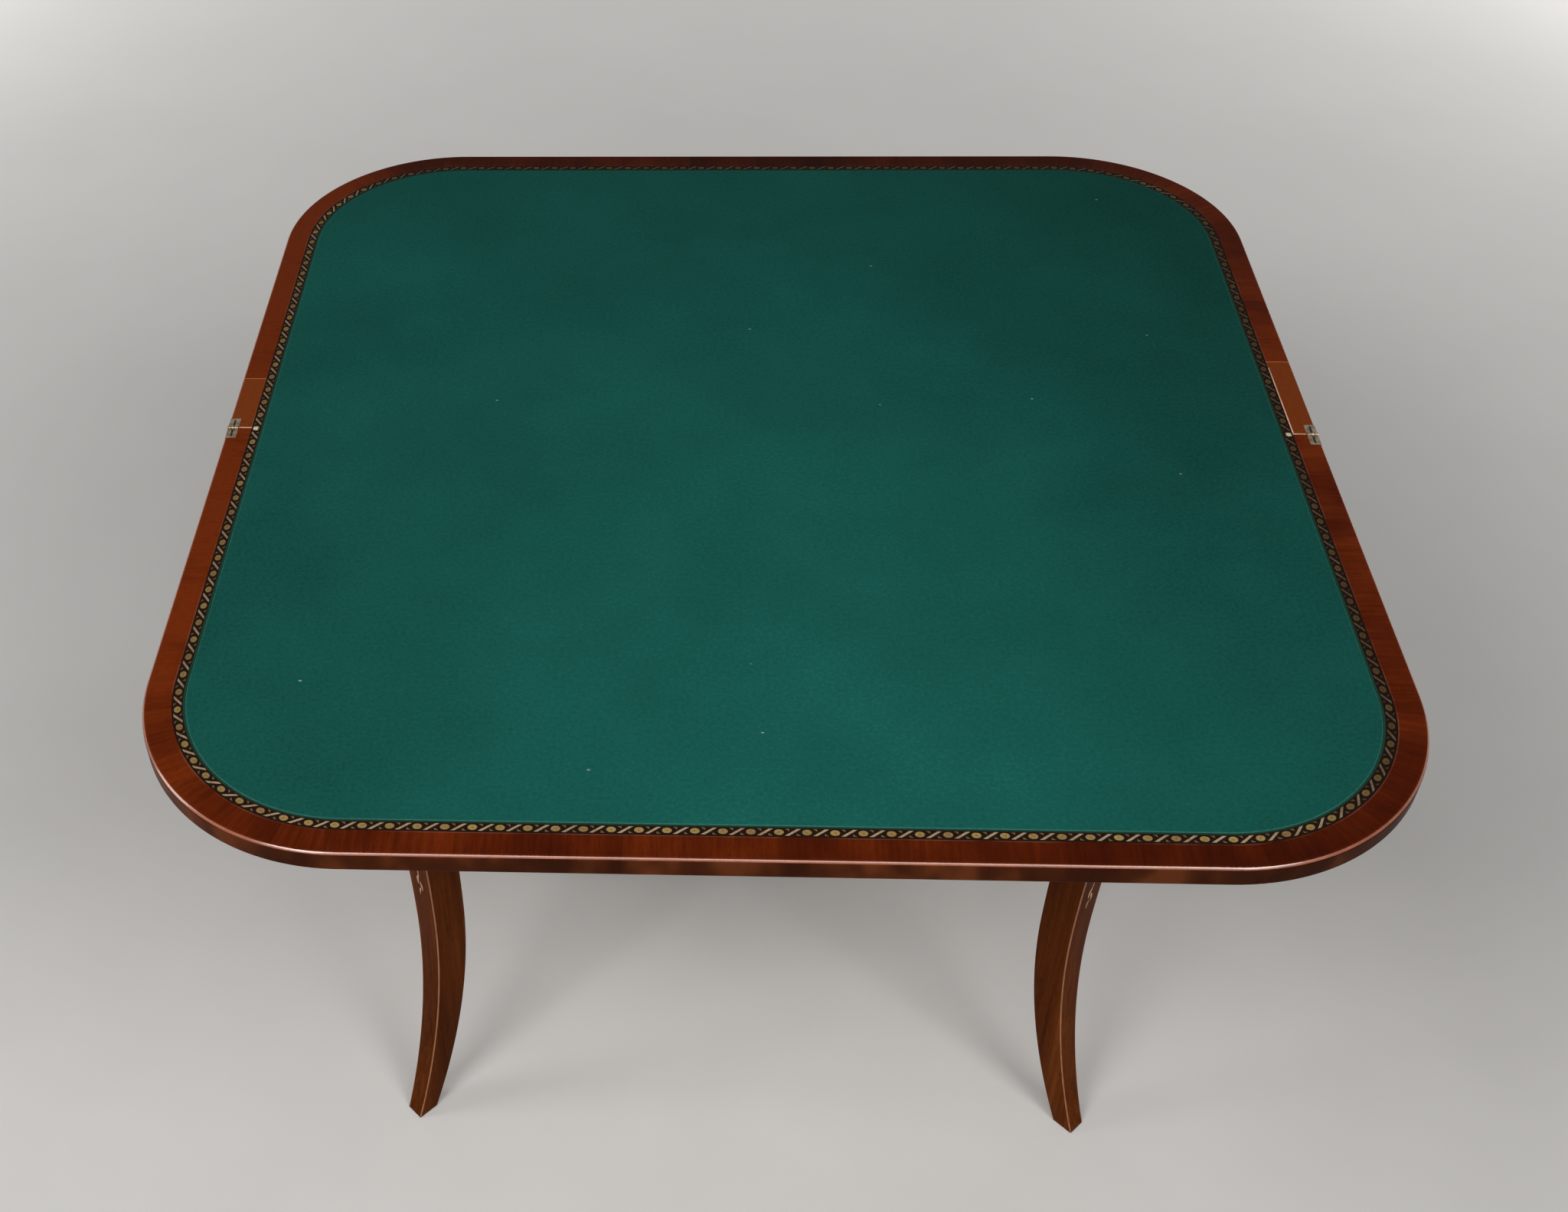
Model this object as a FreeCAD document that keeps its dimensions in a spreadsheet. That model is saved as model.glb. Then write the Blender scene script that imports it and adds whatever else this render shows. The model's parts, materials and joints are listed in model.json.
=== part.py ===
import FreeCAD, Part
import math
import os
import re

import Sketcher

# Console game table, opened for play: a folding top of two leaves slides on a frame with four sabre legs.
# The frame of the model: X runs along the fold line, -Y is the front, +Z is up, the floor is at zero.

DRIVING_SIZES = [
    ("table_height", 745.0, "floor to the playing surface, top open"),
    ("top_width", 882.0, "top along the fold line"),
    ("leaf_depth", 450.0, "fold line to the outer edge of one leaf"),
    ("leaf_thickness", 16.0, "one leaf, baize included"),
    ("corner_radius", 156.0, "rounded outer corners of the leaves"),
    ("lipping_width", 20.5, "solid crossbanded edge round each leaf"),
    ("band_width", 9.3, "inlaid border band"),
    ("inlay_thickness", 1.2, "border band and baize"),
    ("edge_round_top", 3.0, "upper arris of the lipping"),
    ("edge_round_bottom", 1.5, "lower arris of the lipping"),
    ("joint_gap", 0.5, "between the two leaves at the fold line"),
    ("slip_length_left", 70.0, "short lipping beside the left hinge of the flap"),
    ("slip_length_right", 101.0, "short lipping beside the right hinge of the flap"),
    ("end_overhang", 94.0, "end of the top to the outside of the frame"),
    ("front_overhang", 42.0, "edge of the closed top to the outside of the frame"),
    ("rail_height", 75.0, "frame rails"),
    ("rail_thickness", 22.0, "frame rails"),
    ("tenon_thickness", 8.0, "tenons of the rails in the legs"),
    ("tenon_length", 16.0, "tenons, measured on the middle of the rail"),
    ("tenon_shoulder", 12.0, "shoulder above and below a tenon"),
    ("leg_width_top", 42.0, "outward face of a leg at the frame"),
    ("leg_width_foot", 19.0, "outward face of a leg at the floor"),
    ("leg_depth_top", 44.0, "leg from outward face to inner face at the frame"),
    ("leg_depth_waist", 34.5, "the same at the waist of the sabre curve"),
    ("leg_depth_foot", 22.0, "the same at the floor"),
    ("waist_height", 280.0, "height of the waist of the sabre curve"),
    ("waist_inset", 40.0, "outward face at the waist, in from the frame's corner face"),
    ("foot_kick", 8.0, "outward face at the floor, out from the frame's corner face"),
    ("felt_thickness", 1.5, "felt strips that the top slides on"),
    ("felt_width", 14.0, "felt strips"),
    ("slide_gap", 0.3, "between felt and leaf"),
    ("guide_gap", 20.8, "corner block to guide, along the frame"),
    ("guide_width", 26.0, "guides across the frame"),
    ("guide_height", 45.0, "guides across the frame"),
    ("housing_depth", 6.0, "how far a guide is let into the rails"),
    ("groove_depth", 9.0, "groove of a guide"),
    ("groove_height", 10.0, "groove of a guide"),
    ("groove_drop", 20.0, "top of a guide to the middle of its groove"),
    ("slide_play", 0.4, "between shoe and guide on every side"),
    ("stop_play", 0.5, "between shoe and rail at each end of the travel"),
    ("shoe_width", 28.0, "shoes under the lower leaf, without the tongue"),
    ("shoe_height", 32.0, "shoes under the lower leaf"),
    ("block_thickness", 20.0, "corner blocks behind the legs"),
    ("block_height", 40.0, "corner blocks"),
    ("block_lift", 24.0, "bottom of the rails to the bottom of a corner block"),
    ("bolt_diameter", 8.0, "hanger bolts through the corner blocks"),
    ("bolt_bite", 28.0, "how far a hanger bolt goes into its leg"),
    ("bolt_proud", 3.0, "bolt end past its nut"),
    ("bolt_play", 0.2, "bore of the corner block round its bolt"),
    ("washer_diameter", 20.0, "washers of the hanger bolts"),
    ("washer_thickness", 1.6, "washers of the hanger bolts"),
    ("nut_width", 15.0, "nuts of the hanger bolts, over the points"),
    ("nut_thickness", 6.5, "nuts of the hanger bolts"),
    ("ledger_side", 12.0, "square strips that carry the floor of the well"),
    ("ledger_gap", 4.0, "strip end to corner block"),
    ("floor_thickness", 6.0, "floor of the card well"),
    ("floor_gap", 0.5, "floor edge to rails and corner blocks"),
    ("hinge_width", 8.5, "brass hinges along the fold line"),
    ("hinge_reach", 13.0, "hinge plate from the fold line"),
    ("hinge_inset", 1.0, "end of the top to the hinge"),
    ("plate_thickness", 2.0, "hinge plates"),
    ("barrel_radius", 1.6, "knuckles of the hinges"),
    ("hinge_rise", 0.3, "hinge axis above the playing surface"),
    ("hinge_play", 0.3, "between a knuckle and what it turns beside"),
    ("knuckle_play", 0.5, "between neighbouring knuckles"),
    ("pin_radius", 0.8, "hinge pins"),
    ("pin_play", 0.05, "turning knuckle round its pin"),
    ("wood_screw_diameter", 4.0, "screws of the shoes"),
    ("wood_screw_bite", 12.0, "screws of the shoes in the leaf"),
    ("floor_screw_diameter", 3.0, "screws of the well floor"),
    ("floor_screw_bite", 8.0, "screws of the well floor in the strips"),
    ("hinge_screw_diameter", 1.8, "screws of the hinge plates"),
    ("hinge_screw_bite", 9.0, "screws of the hinge plates in the wood"),
    ("cut_overrun", 10.0, "how far a cutting shape runs past the piece"),
]

# Shares of the sizes that they are used with.
MIDDLE_KNUCKLE_SHARE = 0.26
SCREW_HEAD_SHARE = 2.0
SCREW_CONE_SHARE = 0.5
SCREW_TIP_SHARE = 1.5
SHOE_SCREW_SHARES = (0.2, 0.8)
FLOOR_SCREW_SHARES = (-0.9, -0.3, 0.3, 0.9)
PLATE_SCREW_SHARES = (0.45, 0.82)

# Heights and places that follow from the driving sizes, in the same words.
HALF_WIDTH = "(top_width / 2)"
FRAME_LENGTH = "(top_width - 2 * end_overhang)"
FRAME_DEPTH = "(leaf_depth - 2 * front_overhang)"
LEAF_BOTTOM = "(table_height - leaf_thickness)"
PANEL_TOP = "(table_height - inlay_thickness)"
RAIL_TOP = f"({LEAF_BOTTOM} - slide_gap - felt_thickness)"
RAIL_BOTTOM = f"({RAIL_TOP} - rail_height)"
CANT = "(leg_width_top / sqrt(2))"
CORNER_X = f"({FRAME_LENGTH} / 2 - {CANT} / 2)"
CORNER_Y = f"({FRAME_DEPTH} / 2 - {CANT} / 2)"
INNER_X = f"({FRAME_LENGTH} / 2 - rail_thickness)"
INNER_Y = f"({FRAME_DEPTH} / 2 - rail_thickness)"
TRAVEL = "(leaf_depth / 2)"
SHOE_LENGTH = f"(2 * {INNER_Y} - {TRAVEL} - 2 * stop_play)"
GROOVE_MIDDLE = f"({RAIL_TOP} - groove_drop)"
BLOCK_BOTTOM = f"({RAIL_BOTTOM} + block_lift)"
BOLT_LEVEL = f"({BLOCK_BOTTOM} + block_height / 2)"
BLOCK_BACK = "(leg_depth_top + block_thickness)"
RAIL_SKEW = "(leg_width_top / 2 - sqrt(2) * rail_thickness)"
BLOCK_END_X = f"({CORNER_X} - ({RAIL_SKEW} + 2 * {BLOCK_BACK}) / sqrt(2))"
GUIDE_FACE = f"({BLOCK_END_X} - guide_gap - guide_width)"
FLOOR_BOTTOM = f"({RAIL_BOTTOM} + ledger_side)"
FLOOR_TOP = f"({FLOOR_BOTTOM} + floor_thickness)"
HINGE_LEVEL = "(table_height + hinge_rise)"
HINGE_CLEAR = "(barrel_radius + hinge_play)"
HINGE_X = f"({HALF_WIDTH} - hinge_inset - hinge_width / 2)"
MIDDLE_KNUCKLE = f"(hinge_width * {MIDDLE_KNUCKLE_SHARE})"
SIDE_KNUCKLE = f"((hinge_width - {MIDDLE_KNUCKLE}) / 2 - knuckle_play)"

SIDES = ((-1, "left"), (1, "right"))
FRONT = -1
REAR = 1
UP = FreeCAD.Vector(0, 0, 1)
ALONG_X = FreeCAD.Vector(1, 0, 0)
ALONG_Y = FreeCAD.Vector(0, 1, 0)
NEAR_ENOUGH = 1e-6

doc = FreeCAD.newDocument("console_game_table")
sheet = doc.addObject("Spreadsheet::Sheet", "Sizes")
pieces = []


def fill_sheet():
    """Write each driving size with its name, its value and what it measures."""
    for row, (name, value, note) in enumerate(DRIVING_SIZES, start=1):
        sheet.set(f"A{row}", name)
        sheet.set(f"B{row}", str(value))
        sheet.setAlias(f"B{row}", name)
        sheet.set(f"C{row}", note)
    doc.recompute()


ALIASES = {name for name, value, note in DRIVING_SIZES}


def cells(text):
    """Turn a formula in plain words into one that points at the sheet's cells."""
    return re.sub(r"[a-z_]+", lambda word: "Sizes." + word[0] if word[0] in ALIASES else word[0], text)


def size(text):
    """Give the number that a formula stands for now."""
    return float(sheet.evalExpression(cells(text)))


def bind(thing, target, text):
    """Tie a property to a formula."""
    thing.setExpression(target, cells(text))


def place(thing, x="0", y="0", z="0", turn=0, axis=UP):
    """Turn an object about an axis by fixed degrees and tie its place to formulas."""
    thing.Placement = FreeCAD.Placement(FreeCAD.Vector(), FreeCAD.Rotation(axis, turn))
    bind(thing, "Placement.Base.x", x)
    bind(thing, "Placement.Base.y", y)
    bind(thing, "Placement.Base.z", z)
    return thing


def keep(thing, node):
    """Name a finished piece, so that it is written out."""
    thing.Label = node
    pieces.append((node, thing))
    return thing


def arc_centre(start, end, line, level):
    """Find the centre, on the line x or y = level, of the arc that joins two points."""
    a, b = (start.y, end.y) if line == "x" else (start.x, end.x)
    c, d = (start.x, end.x) if line == "x" else (start.y, end.y)
    other = (a * a - b * b + (c - level) ** 2 - (d - level) ** 2) / (2 * (a - b))
    return FreeCAD.Vector(level, other, 0) if line == "x" else FreeCAD.Vector(other, level, 0)


def draw(body, role, name, corners, arcs=None, lift=None):
    """Draw a closed outline on an origin plane of the body.

    corners are pairs of formulas; arcs maps the number of a side to ("x" or "y", formula), the line
    that the arc's centre lies on; lift is a formula for the height of the sketch above the plane.
    """
    arcs = arcs or {}
    sketch = body.newObject("Sketcher::SketchObject", name)
    plane = [part for part in body.Origin.OriginFeatures if part.Role == role][0]
    sketch.AttachmentSupport = [(plane, "")]
    sketch.MapMode = "FlatFace"
    if lift:
        bind(sketch, "AttachmentOffset.Base.z", lift)
    points = [FreeCAD.Vector(size(x), size(y), 0) for x, y in corners]
    starts = []
    ends = []
    for number, start in enumerate(points):
        end = points[(number + 1) % len(points)]
        first, last = 1, 2
        if number in arcs:
            line, formula = arcs[number]
            centre = arc_centre(start, end, line, size(formula))
            before, after = start - centre, end - centre
            if before.cross(after).z < 0:
                before, after = after, before
                first, last = 2, 1
            circle = Part.Circle(centre, UP, before.Length)
            angles = [math.atan2(arm.y, arm.x) for arm in (before, after)]
            sketch.addGeometry(Part.ArcOfCircle(circle, *angles), False)
        else:
            sketch.addGeometry(Part.LineSegment(start, end), False)
        starts.append(first)
        ends.append(last)
    for number, last in enumerate(ends):
        following = (number + 1) % len(points)
        sketch.addConstraint(Sketcher.Constraint("Coincident", number, last, following, starts[following]))
    for number, point in enumerate(points):
        fix(sketch, "DistanceX", number, starts[number], point.x, f"x{number}", corners[number][0])
        fix(sketch, "DistanceY", number, starts[number], point.y, f"y{number}", corners[number][1])
    for number, (line, formula) in arcs.items():
        fix(sketch, "Distance" + line.upper(), number, 3, size(formula), f"centre{number}", formula)
    return sketch


def fix(sketch, kind, number, spot, value, name, formula):
    """Give one point of a sketch a coordinate that follows a formula."""
    index = sketch.addConstraint(Sketcher.Constraint(kind, number, spot, value))
    sketch.renameConstraint(index, name)
    bind(sketch, f"Constraints.{name}", formula)


def new_body(name):
    return doc.addObject("PartDesign::Body", name)


def pad(body, sketch, length, both_ways=False, backwards=False):
    feature = body.newObject("PartDesign::Pad", sketch.Name + "_pad")
    feature.Profile = sketch
    feature.SideType = "Symmetric" if both_ways else "One side"
    feature.Reversed = backwards
    bind(feature, "Length", length)
    return feature


def round_edges(body, feature, test, radius):
    """Round the edges of a feature whose two ends both pass the test."""
    doc.recompute()
    names = []
    for number, edge in enumerate(feature.Shape.Edges, start=1):
        if all(test(vertex.Point) for vertex in edge.Vertexes):
            names.append(f"Edge{number}")
    rounded = body.newObject("PartDesign::Fillet", feature.Name + "_round")
    rounded.Base = (feature, names)
    bind(rounded, "Radius", radius)
    return rounded


def box(name, length, width, height, x, y, z):
    thing = doc.addObject("Part::Box", name)
    bind(thing, "Length", length)
    bind(thing, "Width", width)
    bind(thing, "Height", height)
    return place(thing, x, y, z)


def cylinder(name, radius, height, x, y, z, turn=0, axis=UP):
    thing = doc.addObject("Part::Cylinder", name)
    bind(thing, "Radius", radius)
    bind(thing, "Height", height)
    return place(thing, x, y, z, turn, axis)


def cut(base, *tools):
    """Cut pieces out of a base one after another, so that each fits what it was cut by."""
    for tool in tools:
        result = doc.addObject("Part::Cut", base.Name + "_cut")
        result.Base = base
        result.Tool = tool
        base = result
    return base


def fuse(name, parts):
    thing = doc.addObject("Part::MultiFuse", name)
    thing.Shapes = parts
    return thing


def group(name, parts):
    """Keep several loose copies together as one piece."""
    thing = doc.addObject("Part::Compound", name)
    thing.Links = parts
    return thing


def copy_of(master, name, x, y, z, turn=0, axis=UP):
    link = doc.addObject("App::Link", name)
    link.LinkedObject = master
    return place(link, x, y, z, turn, axis)


def screw_master(name, diameter, length):
    """Turn a countersunk screw: the head's face at zero, the point straight down."""
    body = new_body(name)
    head = f"{diameter} * {SCREW_HEAD_SHARE} / 2"
    shank = f"{diameter} / 2"
    profile = [
        ("0", "0"),
        (head, "0"),
        (shank, f"-{diameter} * {SCREW_CONE_SHARE}"),
        (shank, f"-({length} - {diameter} * {SCREW_TIP_SHARE})"),
        ("0", f"-({length})"),
    ]
    sketch = draw(body, "XZ_Plane", name + "_profile", profile)
    turned = body.newObject("PartDesign::Revolution", name + "_turned")
    turned.Profile = sketch
    turned.ReferenceAxis = (sketch, ["V_Axis"])
    return body


def make_guides():
    """Two grooved bars across the frame, let into the rails, that hold the shoes down."""
    guides = []
    for side, word in SIDES:
        body = new_body("guide_" + word)
        near = f"{side} * {GUIDE_FACE}"
        deep = f"{side} * ({GUIDE_FACE} + groove_depth)"
        far = f"{side} * ({GUIDE_FACE} + guide_width)"
        bottom = f"{RAIL_TOP} - guide_height"
        groove_low = f"{GROOVE_MIDDLE} - groove_height / 2"
        groove_high = f"{GROOVE_MIDDLE} + groove_height / 2"
        section = [
            (near, bottom), (far, bottom), (far, RAIL_TOP), (near, RAIL_TOP),
            (near, groove_high), (deep, groove_high), (deep, groove_low), (near, groove_low),
        ]
        sketch = draw(body, "XZ_Plane", body.Name + "_section", section)
        pad(body, sketch, f"2 * ({INNER_Y} + housing_depth)", both_ways=True)
        guides.append(keep(body, "guide_" + word))
    return guides


def make_rail(name, half_span, outer, turn):
    """A rail with mitred ends that meet the flanks of the legs, and a tenon at each end."""
    body = new_body(name + "_blank")
    long_half = f"({half_span} - {CANT})"
    short_half = f"({long_half} - rail_thickness)"
    inner = f"({outer} - rail_thickness)"
    plan = [
        (f"-{long_half}", outer), (long_half, outer), (short_half, inner), (f"-{short_half}", inner),
    ]
    sketch = draw(body, "XY_Plane", name + "_plan", plan)
    pad(body, sketch, "rail_height")
    middle = f"({outer} - rail_thickness / 2)"
    reach = f"({long_half} - rail_thickness / 2 + tenon_length)"
    tenon = [
        (f"-{reach}", f"{middle} - tenon_thickness / 2"), (reach, f"{middle} - tenon_thickness / 2"),
        (reach, f"{middle} + tenon_thickness / 2"), (f"-{reach}", f"{middle} + tenon_thickness / 2"),
    ]
    tenon_sketch = draw(body, "XY_Plane", name + "_tenon", tenon, lift="tenon_shoulder")
    pad(body, tenon_sketch, "rail_height - 2 * tenon_shoulder")
    return place(body, z=RAIL_BOTTOM, turn=turn)


def make_rails(guides):
    half_length = f"({FRAME_LENGTH} / 2)"
    half_depth = f"({FRAME_DEPTH} / 2)"
    rails = {}
    for name, turn in (("rail_rear", 0), ("rail_front", 180)):
        blank = make_rail(name, half_length, half_depth, turn)
        rails[name] = keep(cut(blank, *guides), name)
    for name, turn in (("rail_left", 90), ("rail_right", -90)):
        rails[name] = keep(make_rail(name, half_depth, half_length, turn), name)
    return rails


def corner_turn(side, end):
    """Degrees from +X to the outward diagonal of a corner."""
    return math.degrees(math.atan2(end, side))


def make_leg_blank(name, side, end):
    """A sabre leg in its own frame: X is outward on the diagonal, Z is up.

    The outward and the inner face are each two arcs that meet upright at the waist, under a straight
    block as tall as the rails, and the flanks taper evenly from the block to the floor.
    """
    body = new_body(name)
    waist_outer = "-waist_inset"
    waist_inner = "-(waist_inset + leg_depth_waist)"
    profile = [
        ("foot_kick", "0"), (waist_outer, "waist_height"), ("0", RAIL_BOTTOM), ("0", RAIL_TOP),
        ("-leg_depth_top", RAIL_TOP), ("-leg_depth_top", RAIL_BOTTOM), (waist_inner, "waist_height"),
        ("foot_kick - leg_depth_foot", "0"),
    ]
    at_waist = ("y", "waist_height")
    curved_sides = {0: at_waist, 1: at_waist, 5: at_waist, 6: at_waist}
    sketch = draw(body, "XZ_Plane", name + "_profile", profile, curved_sides)
    pad(body, sketch, "leg_width_top", both_ways=True)
    for sign, word in SIDES:
        half_top = f"{sign} * leg_width_top / 2"
        half_foot = f"{sign} * leg_width_foot / 2"
        wedge = [(half_top, RAIL_BOTTOM), (half_foot, "0"), (half_top, "0")]
        taper_sketch = draw(body, "YZ_Plane", f"{name}_taper_{word}", wedge)
        taper = body.newObject("PartDesign::Pocket", f"{name}_tapered_{word}")
        taper.Profile = taper_sketch
        taper.SideType = "Symmetric"
        taper.Type = "ThroughAll"
    return place(body, f"{side} * {CORNER_X}", f"{end} * {CORNER_Y}", turn=corner_turn(side, end))


def diagonal_place(side, end, distance):
    """Formulas for a point on a corner's diagonal, so far in from the corner face."""
    x = f"{side} * ({CORNER_X} - ({distance}) / sqrt(2))"
    y = f"{end} * ({CORNER_Y} - ({distance}) / sqrt(2))"
    return x, y


def make_corner_hardware():
    """Masters of the washer and the nut, each lying flat with its lower face at zero."""
    hole_radius = "bolt_diameter / 2"
    disc = cylinder("washer_disc", "washer_diameter / 2", "washer_thickness", "0", "0", "0")
    washer_hole = cylinder("washer_hole", hole_radius, "washer_thickness", "0", "0", "0")
    prism = doc.addObject("Part::Prism", "nut_prism")
    bind(prism, "Circumradius", "nut_width / 2")
    bind(prism, "Height", "nut_thickness")
    nut_hole = cylinder("nut_hole", hole_radius, "nut_thickness", "0", "0", "0")
    return cut(disc, washer_hole), cut(prism, nut_hole)


def make_corners(rails):
    """Legs with their mortises, and the corner blocks with the bolts that draw the legs in."""
    washer, nut = make_corner_hardware()
    bolts = []
    washers = []
    nuts = []
    for end, end_word in ((FRONT, "front"), (REAR, "rear")):
        for side, side_word in SIDES:
            word = f"{end_word}_{side_word}"
            turn = corner_turn(side, end)
            outward = FreeCAD.Rotation(UP, turn).multVec(ALONG_X)
            across = UP.cross(outward)

            bolt_start = diagonal_place(side, end, "leg_depth_top - bolt_bite")
            bolt_length = "bolt_bite + block_thickness + washer_thickness + nut_thickness + bolt_proud"
            bolt = cylinder("bolt_" + word, "bolt_diameter / 2", bolt_length,
                            *bolt_start, BOLT_LEVEL, -90, across)
            bolts.append(bolt)
            bore_start = diagonal_place(side, end, "leg_depth_top - cut_overrun")
            bore_length = "block_thickness + 2 * cut_overrun"
            bore = cylinder("bore_" + word, "bolt_diameter / 2 + bolt_play", bore_length,
                            *bore_start, BOLT_LEVEL, -90, across)
            washer_place = diagonal_place(side, end, BLOCK_BACK)
            washers.append(copy_of(washer, "washer_" + word, *washer_place, BOLT_LEVEL, -90, across))
            nut_place = diagonal_place(side, end, f"{BLOCK_BACK} + washer_thickness")
            nuts.append(copy_of(nut, "nut_" + word, *nut_place, BOLT_LEVEL, -90, across))

            blank = make_leg_blank("leg_blank_" + word, side, end)
            leg = cut(blank, rails["rail_" + end_word], rails["rail_" + side_word], bolt)
            keep(leg, "leg_" + word)

            block = new_body("block_blank_" + word)
            narrow = f"({RAIL_SKEW} + leg_depth_top)"
            wide = f"({RAIL_SKEW} + {BLOCK_BACK})"
            plan = [
                ("-leg_depth_top", narrow), (f"-{BLOCK_BACK}", wide),
                (f"-{BLOCK_BACK}", f"-{wide}"), ("-leg_depth_top", f"-{narrow}"),
            ]
            sketch = draw(block, "XY_Plane", block.Name + "_plan", plan)
            pad(block, sketch, "block_height")
            place(block, f"{side} * {CORNER_X}", f"{end} * {CORNER_Y}", BLOCK_BOTTOM, turn)
            keep(cut(block, bore), "corner_block_" + word)
    keep(group("bolts", bolts), "corner_bolts")
    keep(group("washers", washers), "corner_washers")
    keep(group("nuts", nuts), "corner_nuts")


def make_well():
    """The card well: a floor on two strips, with its corners cut off behind the corner blocks."""
    length = f"2 * ({BLOCK_END_X} - ledger_gap)"
    start_x = f"-({BLOCK_END_X} - ledger_gap)"
    screw = screw_master("floor_screw", "floor_screw_diameter", "(floor_thickness + floor_screw_bite)")
    screws = []
    strips = {}
    for end, word in ((FRONT, "front"), (REAR, "rear")):
        near = f"{INNER_Y} - ledger_side" if end == REAR else f"-{INNER_Y}"
        strips[word] = box("strip_" + word, length, "ledger_side", "ledger_side", start_x, near, RAIL_BOTTOM)
        for number, share in enumerate(FLOOR_SCREW_SHARES):
            x = f"{share} * ({BLOCK_END_X} - ledger_gap)"
            y = f"{end} * ({INNER_Y} - ledger_side / 2)"
            screws.append(copy_of(screw, f"floor_screw_{word}_{number}", x, y, FLOOR_TOP))
    screw_group = keep(group("floor_screw_set", screws), "floor_screws")
    for word, strip in strips.items():
        keep(cut(strip, screw_group), "ledger_" + word)

    floor = new_body("floor_blank")
    edge_x = f"({INNER_X} - floor_gap)"
    edge_y = f"({INNER_Y} - floor_gap)"
    slant = f"({BLOCK_END_X} + {INNER_Y} - sqrt(2) * floor_gap)"
    cut_x = f"({slant} - {edge_y})"
    cut_y = f"({slant} - {edge_x})"
    plan = [
        (edge_x, cut_y), (cut_x, edge_y), (f"-{cut_x}", edge_y), (f"-{edge_x}", cut_y),
        (f"-{edge_x}", f"-{cut_y}"), (f"-{cut_x}", f"-{edge_y}"),
        (cut_x, f"-{edge_y}"), (edge_x, f"-{cut_y}"),
    ]
    pad(floor, draw(floor, "XY_Plane", "floor_plan", plan), "floor_thickness")
    place(floor, z=FLOOR_BOTTOM)
    keep(cut(floor, screw_group), "well_floor")


def make_slide_felts():
    """Felt on the front and rear rails, between the guides and the legs."""
    half = f"({FRAME_LENGTH} / 2 - {CANT} - rail_thickness)"
    for end, word in ((FRONT, "front"), (REAR, "rear")):
        middle = f"{end} * ({FRAME_DEPTH} / 2 - rail_thickness / 2)"
        strip = box("felt_" + word, f"2 * {half}", "felt_width", "felt_thickness",
                    f"-{half}", f"{middle} - felt_width / 2", RAIL_TOP)
        keep(strip, "slide_felt_" + word)


def leaf_path(facing, inset):
    """The outline of a leaf, so far in from its edge, from the right end of the fold line to the left.

    Returns the corners and the arcs, where the arcs are numbered by the corner that they start at.
    """
    half = f"({HALF_WIDTH} - {inset})"
    arc_x = f"({HALF_WIDTH} - corner_radius)"
    joint = f"{facing} * joint_gap / 2"
    arc_y = f"{facing} * (leaf_depth - corner_radius)"
    edge = f"{facing} * (leaf_depth - {inset})"
    corners = [
        (half, joint), (half, arc_y), (arc_x, edge),
        (f"-{arc_x}", edge), (f"-{half}", arc_y), (f"-{half}", joint),
    ]
    return corners, {1: ("x", arc_x), 3: ("x", f"-{arc_x}")}


def make_leaf_boards(leaf, facing):
    """The panel of a leaf, and the border band and baize laid on it side by side."""
    baize_inset = "(lipping_width + band_width)"
    panel = new_body(leaf + "_panel_blank")
    outer, outer_arcs = leaf_path(facing, "lipping_width")
    panel_sketch = draw(panel, "XY_Plane", leaf + "_panel_plan", outer, outer_arcs)
    pad(panel, panel_sketch, "leaf_thickness - inlay_thickness")
    place(panel, z=LEAF_BOTTOM)

    baize = new_body(leaf + "_baize")
    inner, inner_arcs = leaf_path(facing, baize_inset)
    pad(baize, draw(baize, "XY_Plane", leaf + "_baize_plan", inner, inner_arcs), "inlay_thickness")
    keep(place(baize, z=PANEL_TOP), leaf + "_baize")

    band = new_body(leaf + "_band")
    ring = outer + inner[::-1]
    last = len(ring) - 1
    ring_arcs = dict(outer_arcs)
    for number, line in inner_arcs.items():
        ring_arcs[last - number - 1] = line
    pad(band, draw(band, "XY_Plane", leaf + "_band_plan", ring, ring_arcs), "inlay_thickness")
    keep(place(band, z=PANEL_TOP), leaf + "_band")
    return panel


def round_lipping(body, feature, is_outer):
    """Round the two long outer arrises of a lipping."""
    top = size("leaf_thickness")

    def on_top_arris(point):
        return is_outer(point) and abs(point.z - top) < NEAR_ENOUGH

    def on_bottom_arris(point):
        return is_outer(point) and abs(point.z) < NEAR_ENOUGH

    upper = round_edges(body, feature, on_top_arris, "edge_round_top")
    round_edges(body, upper, on_bottom_arris, "edge_round_bottom")


def straight_lipping(name, length, x, y, turn):
    """A straight edge: X is outward from its inner face, and its length is centred on Y."""
    body = new_body(name)
    section = [
        ("0", "0"), ("lipping_width", "0"), ("lipping_width", "leaf_thickness"), ("0", "leaf_thickness"),
    ]
    sketch = draw(body, "XZ_Plane", name + "_section", section)
    feature = pad(body, sketch, length, both_ways=True)
    outer = size("lipping_width")
    round_lipping(body, feature, lambda p: abs(p.x - outer) < NEAR_ENOUGH)
    return place(body, x, y, LEAF_BOTTOM, turn)


def corner_lipping(name, side, facing):
    """A quarter ring round the centre of a leaf's corner."""
    body = new_body(name)
    inner = "(corner_radius - lipping_width)"
    section = [
        (inner, "0"), ("corner_radius", "0"), ("corner_radius", "leaf_thickness"), (inner, "leaf_thickness"),
    ]
    sketch = draw(body, "XZ_Plane", name + "_section", section)
    quarter = body.newObject("PartDesign::Revolution", name + "_quarter")
    quarter.Profile = sketch
    quarter.ReferenceAxis = (sketch, ["V_Axis"])
    quarter.Angle = 90
    quarter.Midplane = True
    outer = size("corner_radius")
    round_lipping(body, quarter, lambda p: abs(math.hypot(p.x, p.y) - outer) < NEAR_ENOUGH)
    x = f"{side} * ({HALF_WIDTH} - corner_radius)"
    y = f"{facing} * (leaf_depth - corner_radius)"
    return place(body, x, y, LEAF_BOTTOM, corner_turn(side, facing))


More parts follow.
